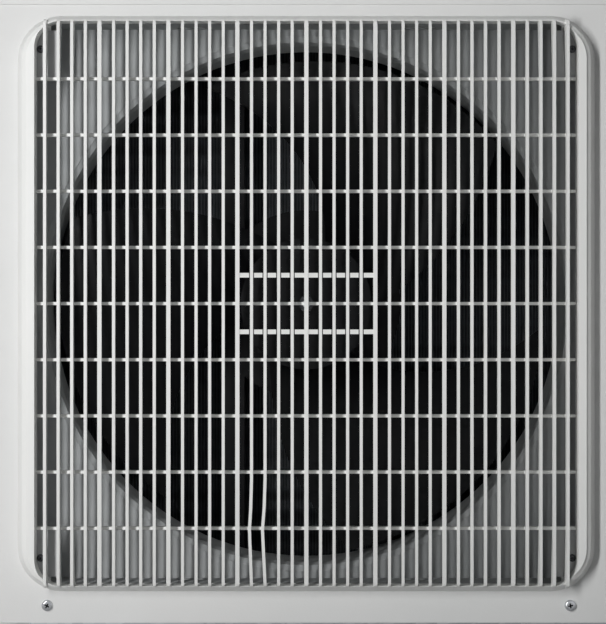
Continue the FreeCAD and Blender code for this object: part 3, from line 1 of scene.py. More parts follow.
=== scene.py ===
# %% [markdown]
# # An outdoor unit, dressed for a studio picture
# The frame holds the outdoor unit of a multi-split air conditioner as plain solids: the casing, the
# fan behind its square guard, the coil, and the machine side with its compressor, pipes and service
# valves. This lesson gives every one of them a finish that comes from nodes, adds the small things
# that solids leave out, and lights the whole as the photograph does. A list of parts with one finish
# each is the clearest way to dress so many of them, so that is the order here.

# %% Load the fixed frame
import json
import math

import bpy
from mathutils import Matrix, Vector


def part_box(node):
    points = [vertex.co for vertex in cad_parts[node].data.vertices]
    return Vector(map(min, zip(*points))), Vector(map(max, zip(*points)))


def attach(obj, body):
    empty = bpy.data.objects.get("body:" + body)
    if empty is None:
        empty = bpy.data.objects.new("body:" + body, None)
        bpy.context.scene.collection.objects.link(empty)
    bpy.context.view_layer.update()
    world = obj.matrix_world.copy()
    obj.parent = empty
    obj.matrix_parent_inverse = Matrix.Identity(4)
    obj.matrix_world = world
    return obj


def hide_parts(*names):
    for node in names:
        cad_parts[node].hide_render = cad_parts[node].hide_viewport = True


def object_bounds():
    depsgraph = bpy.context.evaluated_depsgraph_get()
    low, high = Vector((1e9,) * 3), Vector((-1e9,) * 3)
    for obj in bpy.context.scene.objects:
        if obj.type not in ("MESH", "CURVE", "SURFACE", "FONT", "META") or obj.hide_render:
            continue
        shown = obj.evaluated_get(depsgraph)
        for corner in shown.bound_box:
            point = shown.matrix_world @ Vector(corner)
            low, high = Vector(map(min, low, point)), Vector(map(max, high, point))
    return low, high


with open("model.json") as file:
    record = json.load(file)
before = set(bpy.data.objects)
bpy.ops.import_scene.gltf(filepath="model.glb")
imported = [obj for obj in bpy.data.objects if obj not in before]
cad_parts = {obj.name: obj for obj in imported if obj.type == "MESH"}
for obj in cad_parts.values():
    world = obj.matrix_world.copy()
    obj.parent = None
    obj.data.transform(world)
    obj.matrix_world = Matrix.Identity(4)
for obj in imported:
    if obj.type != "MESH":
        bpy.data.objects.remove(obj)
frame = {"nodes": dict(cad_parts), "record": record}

solid_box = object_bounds()
nodes = frame["nodes"]
print("nodes:", len(nodes), "box:", [[round(v, 4) for v in corner] for corner in solid_box])

# %% [markdown]
# The photograph looks straight at the fan panel, so one millimetre there is worth the same number of
# pixels from edge to edge. A camera could be moved by eye until the picture fits. It is surer to
# place it from the guard's own box: the guard's centre lies about three pixels right of the
# picture's middle and eight above it, and a pixel is 1.05 mm in the plane of the panel.

# %% Camera
photo_height = 624
metres_per_pixel = 0.00105
camera_distance = 1.70
pixels_right, pixels_up = 3.3, 8.4
guard_low, guard_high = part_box("fan_guard")
panel_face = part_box("front_panel")[0][1]
guard_x = (guard_low[0] + guard_high[0]) / 2
guard_z = (guard_low[2] + guard_high[2]) / 2
camera_data = bpy.data.cameras.new("view_camera")
camera = bpy.data.objects.new("view_camera", camera_data)
bpy.context.scene.collection.objects.link(camera)
camera.location = (
    guard_x - pixels_right * metres_per_pixel,
    panel_face - camera_distance,
    guard_z - pixels_up * metres_per_pixel,
)
camera.rotation_euler = (math.pi / 2, 0, 0)
camera_data.sensor_width = 36.0
camera_data.lens = camera_data.sensor_width * camera_distance / (photo_height * metres_per_pixel)
camera_data.clip_end = 30
bpy.context.scene.camera = camera
print("camera at", [round(v, 4) for v in camera.location], "lens", round(camera_data.lens, 1))

# %% [markdown]
# The light in the photograph comes from a tall, narrow soft box near the left of the camera: the
# bars throw thin stripes on the plate at the left, where the light comes nearly straight in, and
# leave the right side of the well dark, where it comes in too flat to pass between them. A sun lamp
# would treat both sides alike, so the key light is a near area lamp. Four wide soft boxes stand
# further off round the unit, for the views of its sides, back and top.

# %% Soft boxes
bpy.context.scene.view_settings.view_transform = "Standard"


def lamp(name, place, target, width, height, power):
    data = bpy.data.lights.new(name, "AREA")
    data.shape = "RECTANGLE"
    data.size = width
    data.size_y = height
    data.energy = power
    light = bpy.data.objects.new(name, data)
    light.location = place
    light.rotation_euler = (Vector(target) - Vector(place)).to_track_quat("-Z", "Y").to_euler()
    bpy.context.scene.collection.objects.link(light)
    return light


key_place = (guard_x - 0.74, panel_face - 1.24, guard_z + 0.18)
key_target = (guard_x + 2.00, panel_face, guard_z - 0.06)
key = lamp("key_soft_box", key_place, key_target, width=0.14, height=1.50, power=26)
lamp("left_soft_box", (-2.6, 0.9, 1.3), (0, 0.1, 0.35), width=1.2, height=1.2, power=26)
lamp("right_soft_box", (2.6, 0.9, 1.3), (0, 0.1, 0.35), width=1.2, height=1.2, power=24)
lamp("rear_soft_box", (0.0, 2.8, 1.5), (0, 0, 0.35), width=1.6, height=1.2, power=27)
lamp("top_soft_box", (0.0, 0.7, 2.8), (0, 0.1, 0.69), width=1.6, height=1.0, power=30)

# %% [markdown]
# The sky fills the shadows from everywhere. A bright one would wash out the stripes behind the
# guard, and a dark one would leave the backdrop grey and metal black. Light Path tells the two uses
# apart: the sky is bright where the camera or a mirror-like surface sees it, and weak as a light.

# %% Sky
pale_blue = (0.97, 0.98, 1.0, 1)
sky_as_light, sky_when_seen = 0.05, 0.62
world = bpy.data.worlds.new("studio")
bpy.context.scene.world = world
world.use_nodes = True
sky_nodes, sky_links = world.node_tree.nodes, world.node_tree.links
sky = sky_nodes["Background"]
seen = sky_nodes.new("ShaderNodeLightPath")
direct = sky_nodes.new("ShaderNodeMath")
direct.operation = "MAXIMUM"
sky_links.new(seen.outputs["Is Camera Ray"], direct.inputs[0])
sky_links.new(seen.outputs["Is Glossy Ray"], direct.inputs[1])
strength = sky_nodes.new("ShaderNodeMapRange")
strength.inputs["To Min"].default_value = sky_as_light
strength.inputs["To Max"].default_value = sky_when_seen
sky_links.new(direct.outputs[0], strength.inputs["Value"])
sky_links.new(strength.outputs["Result"], sky.inputs["Strength"])
sky.inputs["Color"].default_value = pale_blue
print("sky strength:", sky_as_light, "as a light,", sky_when_seen, "when seen")

# %% [markdown]
# The floor is one pale disc under the feet. The key light stands so near it that it would burn a
# white patch into it. Turning the lamp away would take light from the panel too, so light linking
# leaves the floor out of this one lamp: the lamp gets a collection that excludes the floor.

# %% Floor
floor_radius, floor_sides = 7, 96
bpy.ops.object.select_all(action="DESELECT")
bpy.ops.mesh.primitive_circle_add(vertices=floor_sides, radius=floor_radius, fill_type="NGON",
                                  location=(0, 0, solid_box[0][2]))
floor = bpy.context.active_object
floor.name = "studio_floor"
spared = bpy.data.collections.new("spared_by_the_key")
spared.objects.link(floor)
spared.collection_objects[0].light_linking.link_state = "EXCLUDE"
key.light_linking.receiver_collection = spared
print("floor at", round(solid_box[0][2], 4), "spared by", key.name)

# %% [markdown]
# A finish is a colour that is never quite even, a grain that the light catches, and a shine that
# varies with both. Each could be painted by hand, but then it would fit one side only. Nodes on
# object coordinates work the same on every face of every sheet. Laying them one by one takes many
# lines, so a small class lays a node, a link or a step of arithmetic with one call.

# %% A material laid by short calls
class Tree:
    """A new material and its nodes."""

    def __init__(self, name, roughness, metallic=0.0, specular=0.5):
        self.material = bpy.data.materials.new(name)
        self.material.use_nodes = True
        self.tree = self.material.node_tree
        self.shader = self.tree.nodes["Principled BSDF"]
        self.shader.inputs["Roughness"].default_value = roughness
        self.shader.inputs["Metallic"].default_value = metallic
        self.shader.inputs["Specular IOR Level"].default_value = specular
        self.place = self.node("ShaderNodeTexCoord").outputs["Object"]

    def node(self, kind, **values):
        made = self.tree.nodes.new(kind)
        for key, value in values.items():
            setattr(made, key, value)
        return made

    def link(self, output, socket):
        self.tree.links.new(output, socket)

    def between(self, value, low, high, start=0.3, end=0.7):
        """A value mapped from start..end to low..high."""
        spread = self.node("ShaderNodeMapRange")
        for key, number in (("From Min", start), ("From Max", end), ("To Min", low), ("To Max", high)):
            spread.inputs[key].default_value = number
        self.link(value, spread.inputs["Value"])
        return spread.outputs["Result"]

    def math(self, operation, *values):
        """One step of arithmetic. Each value is a number or an output."""
        step = self.node("ShaderNodeMath", operation=operation)
        for socket, value in zip(step.inputs, values):
            if isinstance(value, (int, float)):
                socket.default_value = value
            else:
                self.link(value, socket)
        return step.outputs[0]

    def both(self, first, second):
        return self.math("MULTIPLY", first, second)


print("steps of a tree:", [name for name in vars(Tree) if not name.startswith("_")])

# %% [markdown]
# Two kinds of pattern dress the whole unit. Noise and waves give grain, fins and tracks. Masks, which
# are 1 inside a box or beside a row of bars and 0 elsewhere, pick out places on a surface that are
# too thin to be pieces. Both read the place on the object, so they stay put when the piece moves.

# %% Patterns and masks
class Pattern(Tree):
    """Nodes that tell one place on a surface from another."""

    def noise(self, scale, detail=2.0, stretch=(1, 1, 1)):
        """Noise whose marks are about one metre divided by scale across."""
        mapping = self.node("ShaderNodeMapping")
        mapping.inputs["Scale"].default_value = stretch
        self.link(self.place, mapping.inputs["Vector"])
        texture = self.node("ShaderNodeTexNoise")
        texture.inputs["Scale"].default_value = scale
        texture.inputs["Detail"].default_value = detail
        self.link(mapping.outputs["Vector"], texture.inputs["Vector"])
        return texture.outputs["Fac"]

    def lines(self, axis, pitch, distortion=0.0):
        """Even waves along an axis, one each pitch in metres."""
        texture = self.node("ShaderNodeTexWave", wave_type="BANDS", bands_direction=axis,
                            wave_profile="SIN")
        texture.inputs["Scale"].default_value = math.pi / (10 * pitch)
        texture.inputs["Distortion"].default_value = distortion
        self.link(self.place, texture.inputs["Vector"])
        return texture.outputs["Fac"]

    def along(self, axis, vector=None):
        """One part of the place, or of another vector."""
        split = self.node("ShaderNodeSeparateXYZ")
        self.link(vector or self.place, split.inputs[0])
        return split.outputs[axis]

    def near(self, value, centre, reach):
        """1 where a value is within reach of centre, else 0."""
        return self.math("COMPARE", value, centre, reach)

    def folded(self, axis, centre, half_pitch, *folds):
        """The distance to the nearest of a row of places, folded over again at each fold."""
        distance = self.math("SUBTRACT", self.along(axis), centre)
        distance = self.math("PINGPONG", distance, half_pitch)
        for fold in folds:
            distance = self.math("ABSOLUTE", self.math("SUBTRACT", distance, fold))
        return distance

    def inside(self, axis, centre, reach, about=None):
        """1 within reach of centre along an axis. Given about, both sides of it count alike."""
        value = self.along(axis)
        if about is not None:
            value = self.math("ABSOLUTE", self.math("SUBTRACT", value, about))
        return self.near(value, centre, reach)


print("patterns:", [name for name in vars(Pattern) if not name.startswith("_")])

# %% [markdown]
# What the patterns give goes to three sockets of the shader: colour, roughness and normal. Bumps
# only bend the light, so they cost no faces. Each new bump builds on the one before it.

# %% Colour, shine and bumps
class Finish(Pattern):
    """A finish, from patterns to the shader."""

    def blend(self, value, first, second):
        """One colour where value is 0, the other where it is 1. Each is a colour or an output."""
        mix = self.node("ShaderNodeMix", data_type="RGBA")
        self.link(value, mix.inputs[0])
        for socket, colour in ((mix.inputs[6], first), (mix.inputs[7], second)):
            if isinstance(colour, tuple):
                socket.default_value = (*colour, 1)
            else:
                self.link(colour, socket)
        return mix.outputs[2]

    def colour(self, output):
        self.link(output, self.shader.inputs["Base Color"])

    def shine(self, output):
        self.link(output, self.shader.inputs["Roughness"])

    def bumps(self, output, depth):
        """Raises the surface by depth metres where output is 1, on top of earlier bumps."""
        bump = self.node("ShaderNodeBump")
        bump.inputs["Distance"].default_value = depth
        bump.inputs["Strength"].default_value = 1.0
        self.link(output, bump.inputs["Height"])
        normal = self.shader.inputs["Normal"]
        if normal.is_linked:
            self.link(normal.links[0].from_socket, bump.inputs["Normal"])
        self.link(bump.outputs["Normal"], normal)


def linear(red, green, blue):
    """A colour read from a screen, 0 to 255, as the renderer counts it."""
    shares = (value / 255 for value in (red, green, blue))
    return tuple(((v + 0.055) / 1.055) ** 2.4 if v * 255 > 10 else v / 12.92 for v in shares)


finishes = {}


def finish_for(slot, roughness, metallic=0.0, specular=0.5):
    """Starts a finish and lists its material under the name of its slot."""
    made = Finish(slot, roughness, metallic, specular)
    finishes[slot] = made.material
    return made


print("a middle grey is", [round(v, 3) for v in linear(128, 128, 128)])

# %% [markdown]
# The casing is sheet steel with a baked powder coat. Powder never lies quite flat: it sets with a
# faint orange peel a few millimetres across, and its tone drifts a little over a sheet. Two noises
# do that, one fine for the peel and one much larger for the tone.

# %% Powder coat
def powder_coat(slot, light, dark, roughness):
    made = finish_for(slot, roughness, specular=0.35)
    tone = made.noise(scale=3.0, detail=3.0)
    made.colour(made.blend(made.between(tone, 0, 1), linear(*light), linear(*dark)))
    made.shine(made.between(made.noise(scale=40.0), roughness - 0.05, roughness + 0.07))
    made.bumps(made.noise(scale=420.0, detail=1.0), depth=0.00006)


powder_coat("cabinet_paint", (226, 226, 225), (221, 222, 221), roughness=0.55)
powder_coat("shroud_paint", (158, 160, 161), (150, 153, 154), roughness=0.55)
print("powder coats:", sorted(finishes))

# %% [markdown]
# The guard and the valve cover are moulded, and the wire guards are dipped in the same white
# plastic. A moulding copies the face of its tool, so its grain is much finer than a powder coat's
# peel, and it shines more.

# %% Moulded white plastic
def moulded_white(slot, light, dark, roughness, grain):
    made = finish_for(slot, roughness)
    tone = made.noise(scale=5.0)
    made.colour(made.blend(made.between(tone, 0, 1), linear(*light), linear(*dark)))
    made.shine(made.between(made.noise(scale=60.0), roughness - 0.04, roughness + 0.06))
    made.bumps(made.noise(scale=900.0, detail=1.0), depth=grain)
    return made


guard = moulded_white("guard_plastic", (236, 236, 234), (231, 232, 230), 0.36, grain=0.00002)
moulded_white("cover_plastic", (228, 228, 226), (222, 223, 221), 0.50, grain=0.00006)
moulded_white("guard_wire", (214, 215, 214), (206, 208, 207), 0.40, grain=0.00003)
print("finishes so far:", sorted(finishes))

# %% [markdown]
# Two places on the guard get painted shade in its white. The flat ears in its corners are painted grey
# for the shade of the rim that falls on them. Beside each thin bar, where a short rib crosses it, a
# dark band is painted for the shade in the gap between bar and rib. Both are only skin deep, so masks
# are enough. The bars come in groups, four thin ones between two thick ones. Folding the distance from
# the guard's middle at half a group, and again at the middle of a pair of thin bars, lays every thin
# bar on the same spot, and one narrow band beside it gives all the painted shade beside the bars.

# %% Painted shade on the guard's ears and beside its bars
group_pitch = 0.0716
pair_middle, pair_half = 0.02172, 0.00704
groove_shade_middle, groove_shade_half = 0.00216, 0.00052
short_rib_reach = 0.0690
short_rib_height, short_rib_half = 0.0294, 0.0030
front_depth, front_half = 0.0030, 0.0025
ear_place, ear_half = (0.27155, 0.26170), (0.01095, 0.02460)
ear_depth, ear_skin = 0.0012, 0.0016

white_tone = guard.shader.inputs["Base Color"].links[0].from_socket
# Painted shade: the ears are painted grey for the shade of the rim that falls on them.
ear_painted_shade = guard.both(guard.inside("X", ear_place[0], ear_half[0], guard_x),
                      guard.inside("Z", ear_place[1], ear_half[1], guard_z))
ear_painted_shade = guard.both(ear_painted_shade, guard.inside("Y", panel_face - ear_depth, ear_skin))
ear_shaded_tone = guard.blend(ear_painted_shade, white_tone, linear(162, 163, 164))
# Painted shade: a dark band beside each thin bar where a short rib crosses it, for the shade in the
# gap between them.
thin_bar = guard.folded("X", guard_x, group_pitch / 2, pair_middle, pair_half)
groove_painted_shade = guard.near(thin_bar, groove_shade_middle, groove_shade_half)
for limit in (("X", 0.0, short_rib_reach, guard_x),
              ("Z", short_rib_height, short_rib_half, guard_z),
              ("Y", guard_low[1] + front_depth, front_half)):
    groove_painted_shade = guard.both(groove_painted_shade, guard.inside(*limit))
guard.colour(guard.blend(groove_painted_shade, ear_shaded_tone, linear(52, 54, 56)))
print("nodes in the guard's finish:", len(guard.tree.nodes))

# %% [markdown]
# The base, feet, partition and motor bracket are galvanised sheet. Zinc freezes in flat crystals,
# called spangle, each with its own grey and shine. A Voronoi texture gives just such cells, and its
# colour output, one random value per cell, sets both.

# %% Galvanised steel
crystals_per_metre = 95.0
zinc = finish_for("galvanised_steel", roughness=0.42, metallic=0.85)
cells = zinc.node("ShaderNodeTexVoronoi")
cells.inputs["Scale"].default_value = crystals_per_metre
zinc.link(zinc.place, cells.inputs["Vector"])
shade = zinc.node("ShaderNodeSeparateColor")
zinc.link(cells.outputs["Color"], shade.inputs["Color"])
zinc.colour(zinc.blend(shade.outputs["Red"], linear(176, 181, 184), linear(200, 204, 206)))
zinc.shine(zinc.between(shade.outputs["Green"], 0.34, 0.52, start=0, end=1))
zinc.bumps(zinc.noise(scale=300.0, detail=3.0), depth=0.00004)
print("crystals about", round(1000 / crystals_per_metre, 1), "mm across")

# %% [markdown]
# Valves, castings and bright steel are turned, rolled or ground, and the tool leaves streaks one
# way. A noise that is stretched along one axis gives them, and sets both the tone and the height
# of each streak. Plated screws keep the plain noise. One helper makes all of these metals, because
# a row of values is all that tells one from another.

# %% Machined and plated metal
def machined(slot, first, second, roughness, depth, metallic=1.0, stretch=(1, 1, 1)):
    made = finish_for(slot, roughness, metallic)
    streak = made.noise(scale=160.0, detail=3.0, stretch=stretch)
    made.colour(made.blend(made.between(streak, 0, 1), linear(*first), linear(*second)))
    made.shine(made.between(made.noise(scale=90.0), roughness - 0.07, roughness + 0.10))
    made.bumps(streak, depth)


machined("chrome_screw", (214, 216, 218), (196, 198, 202), 0.16, 0.00001)
machined("zinc_screw", (190, 192, 190), (170, 172, 168), 0.32, 0.00002)
machined("bright_steel", (196, 198, 200), (168, 170, 173), 0.25, 0.00002, stretch=(1, 6, 1))
machined("brass", (214, 186, 118), (186, 156, 92), 0.30, 0.00002, stretch=(4, 1, 1))
machined("cast_aluminium", (196, 198, 200), (178, 181, 184), 0.40, 0.00003, stretch=(1, 1, 5))
machined("core_steel", (92, 88, 84), (70, 66, 62), 0.45, 0.00010, metallic=0.6, stretch=(1, 1, 30))
print("finishes so far:", len(finishes))

# %% [markdown]
# Copper tube leaves the works bright and darkens where the torch has been and where damp sits. A
# large noise moves it from salmon to brown, and roughens the brown places too. A small one adds a
# fine grain.

# %% Copper tube
copper = finish_for("copper", roughness=0.3, metallic=1.0)
tarnish = copper.between(copper.noise(scale=14.0, detail=4.0), 0, 1, start=0.40, end=0.66)
copper.colour(copper.blend(tarnish, linear(219, 155, 121), linear(150, 96, 70)))
copper.shine(copper.between(tarnish, 0.24, 0.50, start=0, end=1))
copper.bumps(copper.noise(scale=500.0), depth=0.00003)
print("nodes in the copper's finish:", len(copper.tree.nodes))

# %% [markdown]
# The black pieces differ more in shine than in colour: the fan is a glass-filled plastic with a
# silky face, the motor a dull moulded resin, rubber is flat, and the compressor and the small
# screws are enamelled. Each gets its own grain.

# %% Black plastics, rubber and enamel
def black(slot, first, second, roughness, scale, depth, metallic=0.0, specular=0.5):
    made = finish_for(slot, roughness, metallic, specular)
    tone = made.noise(scale=12.0, detail=3.0)
    made.colour(made.blend(made.between(tone, 0, 1), linear(*first), linear(*second)))
    made.shine(made.between(made.noise(scale=70.0), roughness - 0.05, roughness + 0.10))
    made.bumps(made.noise(scale), depth)


black("fan_plastic", (22, 23, 25), (16, 17, 19), 0.46, 260.0, 0.00005, specular=0.15)
black("motor_moulding", (38, 38, 40), (30, 30, 32), 0.62, 700.0, 0.00010, specular=0.3)
black("black_rubber", (40, 40, 40), (30, 30, 31), 0.80, 600.0, 0.00008)
black("black_plastic", (46, 46, 48), (36, 36, 38), 0.50, 800.0, 0.00005)
black("compressor_paint", (38, 38, 40), (28, 28, 30), 0.30, 220.0, 0.00012)
black("black_enamel", (26, 27, 29), (20, 21, 23), 0.50, 400.0, 0.00004, specular=0.2)
black("black_screw", (74, 75, 78), (58, 59, 62), 0.24, 900.0, 0.00002, metallic=0.5)
# Painted shade: the recess finish darkens the bottom of a screw's cross, where light hardly reaches.
black("screw_recess", (24, 24, 25), (16, 16, 17), 0.55, 900.0, 0.00002, metallic=0.2, specular=0.2)
print("finishes so far:", len(finishes))

# %% [markdown]
# A coil is a block of thin upright fins pressed on rows of tubes. Hundreds of fins as solids would be
# heavy and would shimmer, so the block keeps its shape and the fins are waves in the surface: fine
# upright ones for the fins' edges, with painted shade in the gaps between them, and broad level ones
# where each row of tubes lifts them. The coil bends round a corner, so the way a face points says
# along which axis its fins follow each other. It also tells the outer faces, which see the daylight,
# from the inner ones in the dark, and the two get lit and shaded copies of the fins' colour: painted
# light outside and painted shade inside.

# %% Coil fins
fin_pitch, tube_pitch = 0.0018, 0.0254
end_face, outer_face = 0.7, 0.3
fins = finish_for("fin_aluminium", roughness=0.38, metallic=0.8)
facing = fins.node("ShaderNodeTexCoord").outputs["Normal"]
sideways = fins.math("ABSOLUTE", fins.along("X", facing))
edges = fins.node("ShaderNodeMix", data_type="FLOAT")
fins.link(fins.math("GREATER_THAN", sideways, end_face), edges.inputs[0])
fins.link(fins.lines("X", fin_pitch), edges.inputs[2])
fins.link(fins.lines("Y", fin_pitch), edges.inputs[3])
edge = edges.outputs[0]
rows = fins.lines("Z", tube_pitch)
outwards = fins.math("SUBTRACT", fins.along("Y", facing), fins.along("X", facing))
outer = fins.math("GREATER_THAN", outwards, outer_face)
# Painted shade: on the inner faces the fins and the gaps between them are painted dark.
shaded_edge = fins.between(edge, 0, 1, start=0.72, end=1.0)
painted_shade_fins = fins.blend(shaded_edge, linear(24, 26, 28), linear(120, 124, 128))
# Painted light: the outer faces get a lighter copy of the same colours.
bright_edge = fins.between(edge, 0, 1, start=0.45, end=0.95)
painted_light_fins = fins.blend(bright_edge, linear(66, 70, 74), linear(186, 190, 193))
collars = fins.between(rows, 0, 0.35, start=0.7, end=1.0)
fins.colour(fins.blend(collars, fins.blend(outer, painted_shade_fins, painted_light_fins), linear(70, 74, 78)))
fins.bumps(edge, depth=0.0006)
fins.bumps(rows, depth=0.0008)
print("fins", fin_pitch * 1000, "mm apart, rows of tubes", tube_pitch * 1000, "mm apart")

# %% [markdown]
# The control board is green laminate with copper tracks under the lacquer. Straight waves would look
# like corduroy. Distortion bends and joins them, which is near enough for a board inside its box.

# %% Circuit board
board = finish_for("board_green", roughness=0.35)
traces = board.lines("X", pitch=0.0045, distortion=2.5)
track = board.between(traces, 0, 1, start=0.62, end=0.70)
board.colour(board.blend(track, linear(30, 92, 62), linear(62, 128, 88)))
board.bumps(traces, depth=0.00004)
print("nodes in the board's finish:", len(board.tree.nodes))

# %% [markdown]
# Lamps near the unit leave the far floor dark, and it would meet the pale sky in a hard band. More
# light would fall on the unit as well. So the floor glows a little, more with each metre from the
# middle, and only where the camera or a mirror-like surface sees it: it lights nothing.

# %% Finish of the floor
glow_near, glow_far = 0.10, 0.60
glow_starts, glow_ends = 1.0, 4.0
pale = finish_for("studio_pale", roughness=0.9)
tone = pale.between(pale.noise(scale=1.5), 0, 1)
pale.colour(pale.blend(tone, linear(226, 226, 225), linear(220, 220, 220)))
reach = pale.node("ShaderNodeVectorMath", operation="LENGTH")
pale.link(pale.place, reach.inputs[0])
ray = pale.node("ShaderNodeLightPath")
seen_or_mirrored = pale.math("MAXIMUM", ray.outputs["Is Camera Ray"], ray.outputs["Is Glossy Ray"])
glow = pale.between(reach.outputs["Value"], glow_near, glow_far, glow_starts, glow_ends)
pale.shader.inputs["Emission Color"].default_value = pale_blue
pale.link(pale.both(glow, seen_or_mirrored), pale.shader.inputs["Emission Strength"])
print("finishes:", len(finishes))

# %% [markdown]
# Every solid in the record names the slot that its finish comes from. Reading the slots from there
# keeps the picture and the record in step, and no part can be forgotten. One nut differs: the nut on
# the fan's shaft is nearly black in the photograph, so it gets the finish of the black screws.

# %% Dress every solid
def dress(thing, finish):
    thing.data.materials.clear()
    thing.data.materials.append(finishes[finish])


slots = {part["node"]: part["material_slot"] for part in frame["record"]["subparts"]}
dress(floor, "studio_pale")
for name, thing in nodes.items():
    dress(thing, slots[name])
dress(nodes["fan_nut"], "black_screw")
print("dressed", len(slots), "of", len(nodes))

# %% [markdown]
# Operators work on what is selected, and the frame leaves every solid selected. These helpers see to
# that: one selects pieces and nothing else, one picks faces or edges by where they are, one joins
# pieces with their place in the mesh, and one says what a finished piece rides on. Picking by place
# is longer than picking by number, but it still works when a shape's size changes.

# %% Tools for picking and joining
def alone(*things):
    """Leaves only these selected, with the first one active."""
    bpy.ops.object.select_all(action="DESELECT")
    for thing in things:
        thing.select_set(True)
    bpy.context.view_layer.objects.active = things[0]


def choose(thing, kind, test):
    """Opens a mesh for editing, with the edges or faces picked whose middle passes the test."""
    alone(thing)
    bpy.ops.object.mode_set(mode="EDIT")
    bpy.ops.mesh.select_mode(type=kind)
    bpy.ops.mesh.select_all(action="DESELECT")
    bpy.ops.object.mode_set(mode="OBJECT")
    points = thing.data.vertices
    for item in thing.data.polygons if kind == "FACE" else thing.data.edges:
        middle = sum((points[i].co for i in item.vertices), Vector()) / len(item.vertices)
        item.select = test(middle)
    bpy.ops.object.mode_set(mode="EDIT")


def joined(things, name):
    """One piece from several, its place in its mesh."""
    alone(*things)
    if len(things) > 1:
        bpy.ops.object.join()
    piece = bpy.context.active_object
    piece.name = name
    bpy.ops.object.transform_apply(location=True, rotation=True, scale=True)
    return piece


def settle(piece, body, slot):
    """Gives a finished piece its body, and the finish of its slot where it has none."""
    if not piece.data.materials:
        dress(piece, slot)
    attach(piece, body)
    print(piece.name, "rides on", body, "faces", len(piece.data.polygons))


print("selected now:", [o.name for o in bpy.context.selected_objects])

# %% [markdown]
# A moulded grille has to leave its mould, so each bar is thinner at the back than at the front. In
# the photograph the slant is just steep enough to hide the bars' flanks, even near the edges. The
# guard's solid has straight flanks, so first the bars are listed, each with its place and half its
# width. Two of them are bent to the left near the lowest rib, and the list of levels, counted in
# ribs from the guard's middle, says how far at each height.

# %% Where the bars stand
thin_half, thick_half = 0.0016, 0.0022
thin_places = (0.01468, 0.02876, 0.04284, 0.05692)
rib_pitch = 0.0588
full_bend = 0.0027
bent_shares = {
    round(-group_pitch + thin_places[0], 5): 0.8,
    round(-group_pitch + thin_places[1], 5): 1.0,
}
bend_run = [(-3.1, 0.0), (-3.6, 0.35), (-4.0, 1.0), (-4.969, 0.0)]
bars = [(guard_x + group_pitch * k, thick_half) for k in range(-3, 4)]
bars += [(guard_x + group_pitch * k + place, thin_half)
         for k in range(-4, 4) for place in thin_places]


def bend_at(bar, height):
    """How far a bar's middle stands left of its place at a height."""
    share = bent_shares.get(round(bar - guard_x, 5), 0.0)
    level = (height - guard_z) / rib_pitch
    for (upper, first), (lower, second) in zip(bend_run, bend_run[1:]):
        if share and lower <= level <= upper:
            change = (second - first) * (upper - level) / (upper - lower)
            return full_bend * share * (first + change)
    return 0.0


print("bars:", len(bars), "of which bent:", len(bent_shares))

# %% [markdown]
# The guard itself is right, so it isn't modelled afresh. A CAD mesh comes as loose triangles, so a
# copy of it is merged first, and the normals stored in it are cleared, because they no longer fit
# once its points move. Then each point of a bar moves towards the bar's middle, the more so the
# deeper it lies. The corners stay as they are, because the ears meet the bars there.

# %% Bars with draft
bar_depth, slimming = 0.014, 0.66
guard_stands_out = 0.020
guard_front = panel_face - guard_stands_out
corner_x, corner_z = 0.235, 0.262
shallowest, deepest = 0.01, 1.01
merge_distance, bar_slack = 0.000002, 0.0001
slim_guard = nodes["fan_guard"].copy()
slim_guard.data = nodes["fan_guard"].data.copy()
slim_guard.name = "slim_guard"
bpy.context.scene.collection.objects.link(slim_guard)
alone(slim_guard)
bpy.ops.mesh.customdata_custom_splitnormals_clear()
bpy.ops.object.mode_set(mode="EDIT")
bpy.ops.mesh.select_all(action="SELECT")
bpy.ops.mesh.remove_doubles(threshold=merge_distance)
bpy.ops.object.mode_set(mode="OBJECT")
moved = 0
for point in slim_guard.data.vertices:
    depth = (point.co.y - guard_front) / bar_depth
    in_corner = abs(point.co.x - guard_x) > corner_x and abs(point.co.z - guard_z) > corner_z
    if not shallowest < depth < deepest or in_corner:
        continue
    for bar, half in bars:
        middle = bar - bend_at(bar, point.co.z)
        if abs(point.co.x - middle) < half + bar_slack:
            point.co.x = middle + (point.co.x - middle) * (1 - slimming * depth)
            moved += 1
            break
bpy.ops.object.shade_smooth_by_angle(angle=math.radians(30))
print("points moved on the bars:", moved, "of", len(slim_guard.data.vertices))
settle(slim_guard, "cabinet", slots["fan_guard"])
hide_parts("fan_guard")

# %% [markdown]
# The screws are the smallest parts that the photograph shows, and the eye goes to them first. Each is
# a pan head with a cross recess, pressed from round wire. A cylinder gives the blank: its front edge
# is rounded with a bevel, its back is inset and extruded into the shank, and two crossed and tapered
# bars cut the recess with a boolean, as the punch does. The recess has a dark finish of its own, a
# painted shade, because light hardly reaches its bottom. The sizes that all screws share are given as
# parts of the head's radius or height.

# %% One cross-head screw
head_sides, dome_steps = 32, 6
hair = 0.00001
shank_inset, dome_share, rim_share = 0.58, 0.82, 0.9
punch_long, punch_wide, punch_deep, punch_taper = 1.16, 0.32, 1.8, 0.5


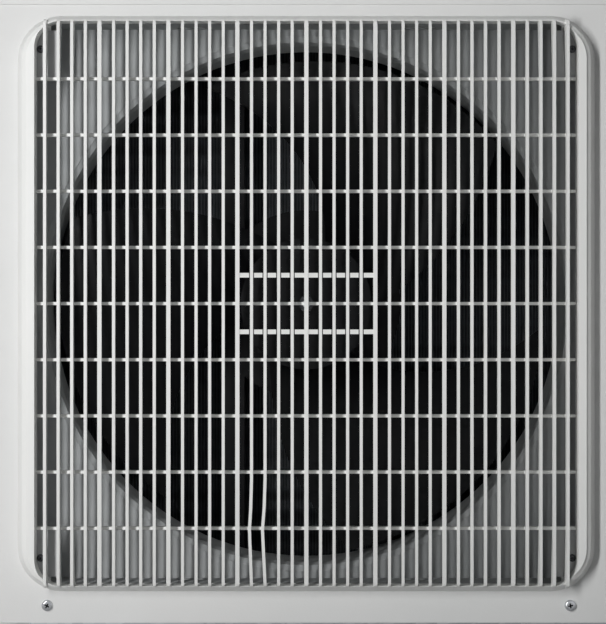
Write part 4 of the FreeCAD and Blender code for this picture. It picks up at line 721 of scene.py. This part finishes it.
def screw_blank(radius, height, length):
    """A domed head with its shank. It points along Y, with the head's seat at Y = 0."""
    bpy.ops.object.select_all(action="DESELECT")
    bpy.ops.mesh.primitive_cylinder_add(vertices=head_sides, radius=radius, depth=height,
                                        location=(0, -height / 2, 0), rotation=(math.pi / 2, 0, 0))
    blank = joined([bpy.context.active_object], "screw_blank")
    choose(blank, "FACE", lambda middle: middle.y > -hair)
    bpy.ops.mesh.inset(thickness=radius * shank_inset)
    bpy.ops.mesh.extrude_region_move(TRANSFORM_OT_translate={"value": (0, length, 0)})
    bpy.ops.object.mode_set(mode="OBJECT")
    choose(blank, "EDGE",
           lambda middle: middle.y < -height + hair and middle.length > radius * rim_share)
    bpy.ops.mesh.bevel(offset=height * dome_share, segments=dome_steps, profile=0.5, affect="EDGES")
    bpy.ops.object.mode_set(mode="OBJECT")
    return blank


def screw_punch(height, across, up):
    """One bar of the cross, smaller at its tip."""
    bpy.ops.object.select_all(action="DESELECT")
    bpy.ops.mesh.primitive_cube_add(size=1, location=(0, -height, 0),
                                    scale=(across, height * punch_deep, up))
    punch = joined([bpy.context.active_object], "screw_punch")
    choose(punch, "FACE", lambda middle: middle.y > -height / 2)
    bpy.ops.transform.resize(value=(punch_taper, 1, punch_taper))
    bpy.ops.object.mode_set(mode="OBJECT")
    # The punch carries the recess's painted shade into the cut.
    punch.data.materials.append(finishes["screw_recess"])
    return punch


def cross_screw(radius, height, length, finish):
    """A finished screw, its recess cut."""
    blank = screw_blank(radius, height, length)
    blank.data.materials.append(finishes[finish])
    blank.data.materials.append(finishes["screw_recess"])
    wide, narrow = radius * punch_long, radius * punch_wide
    punches = [screw_punch(height, wide, narrow), screw_punch(height, narrow, wide)]
    for punch in punches:
        alone(blank)
        recess = blank.modifiers.new("recess", "BOOLEAN")
        recess.operation = "DIFFERENCE"
        recess.solver = "EXACT"
        recess.object = punch
        bpy.ops.object.modifier_apply(modifier="recess")
        bpy.data.objects.remove(punch)
    alone(blank)
    bpy.ops.object.shade_smooth_by_angle(angle=math.radians(35))
    return blank


print("a recess is", punch_long, "of a head's radius long and", punch_wide, "wide")

# %% [markdown]
# The record's plain screws stand in the right places, so their boxes give the places of the new ones.
# One screw is modelled for each size and copied, each copy turned a little further, because no two
# tightened screws have their crosses at the same angle. Each row then replaces its plain solids and
# rides on what it holds, so the service cover's screws come away with the cover.

# %% Rows of screws
first_turn, next_turn = 0.5, 0.9
small_radius, large_radius = 0.004, 0.006


def screw_row(name, node, body, size, seat, places):
    """Copies one screw to its places. Size is the radius, the head's height and the shank's length."""
    first = cross_screw(*size, slots[node])
    copies = []
    for turn, (across, up) in enumerate(places):
        copied = first.copy()
        copied.data = first.data.copy()
        copied.location = (across, seat, up)
        copied.rotation_euler = (0, first_turn + next_turn * turn, 0)
        bpy.context.scene.collection.objects.link(copied)
        copies.append(copied)
    bpy.data.objects.remove(first)
    piece = joined(copies, name)
    settle(piece, body, slots[node])
    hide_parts(node)


def corners(node, radius):
    """Screws' places at a node's corners: the left ones first, the lower before the upper."""
    low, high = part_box(node)
    sides = (low[0] + radius, high[0] - radius)
    heights = (low[2] + radius, high[2] - radius)
    return [(side, height) for side in sides for height in heights]


guard_places = corners("guard_screws", small_radius)
guard_head = 0.0026
guard_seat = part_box("guard_screws")[0][1] + guard_head
screw_row("corner_screws", "guard_screws", "cabinet", (small_radius, guard_head, 0.0104),
          guard_seat, guard_places)
bottom_left, _, bottom_right, _ = corners("front_panel_screws", large_radius)
screw_row("panel_screws", "front_panel_screws", "cabinet", (large_radius, 0.0030, 0.0095),
          panel_face, [bottom_left, bottom_right])
lower_left, _, lower_right, upper_right = corners("service_screws", large_radius)
screw_row("cover_screws", "service_screws", "service_cover", (large_radius, 0.0030, 0.0088),
          panel_face, [lower_left, lower_right, upper_right])

# %% [markdown]
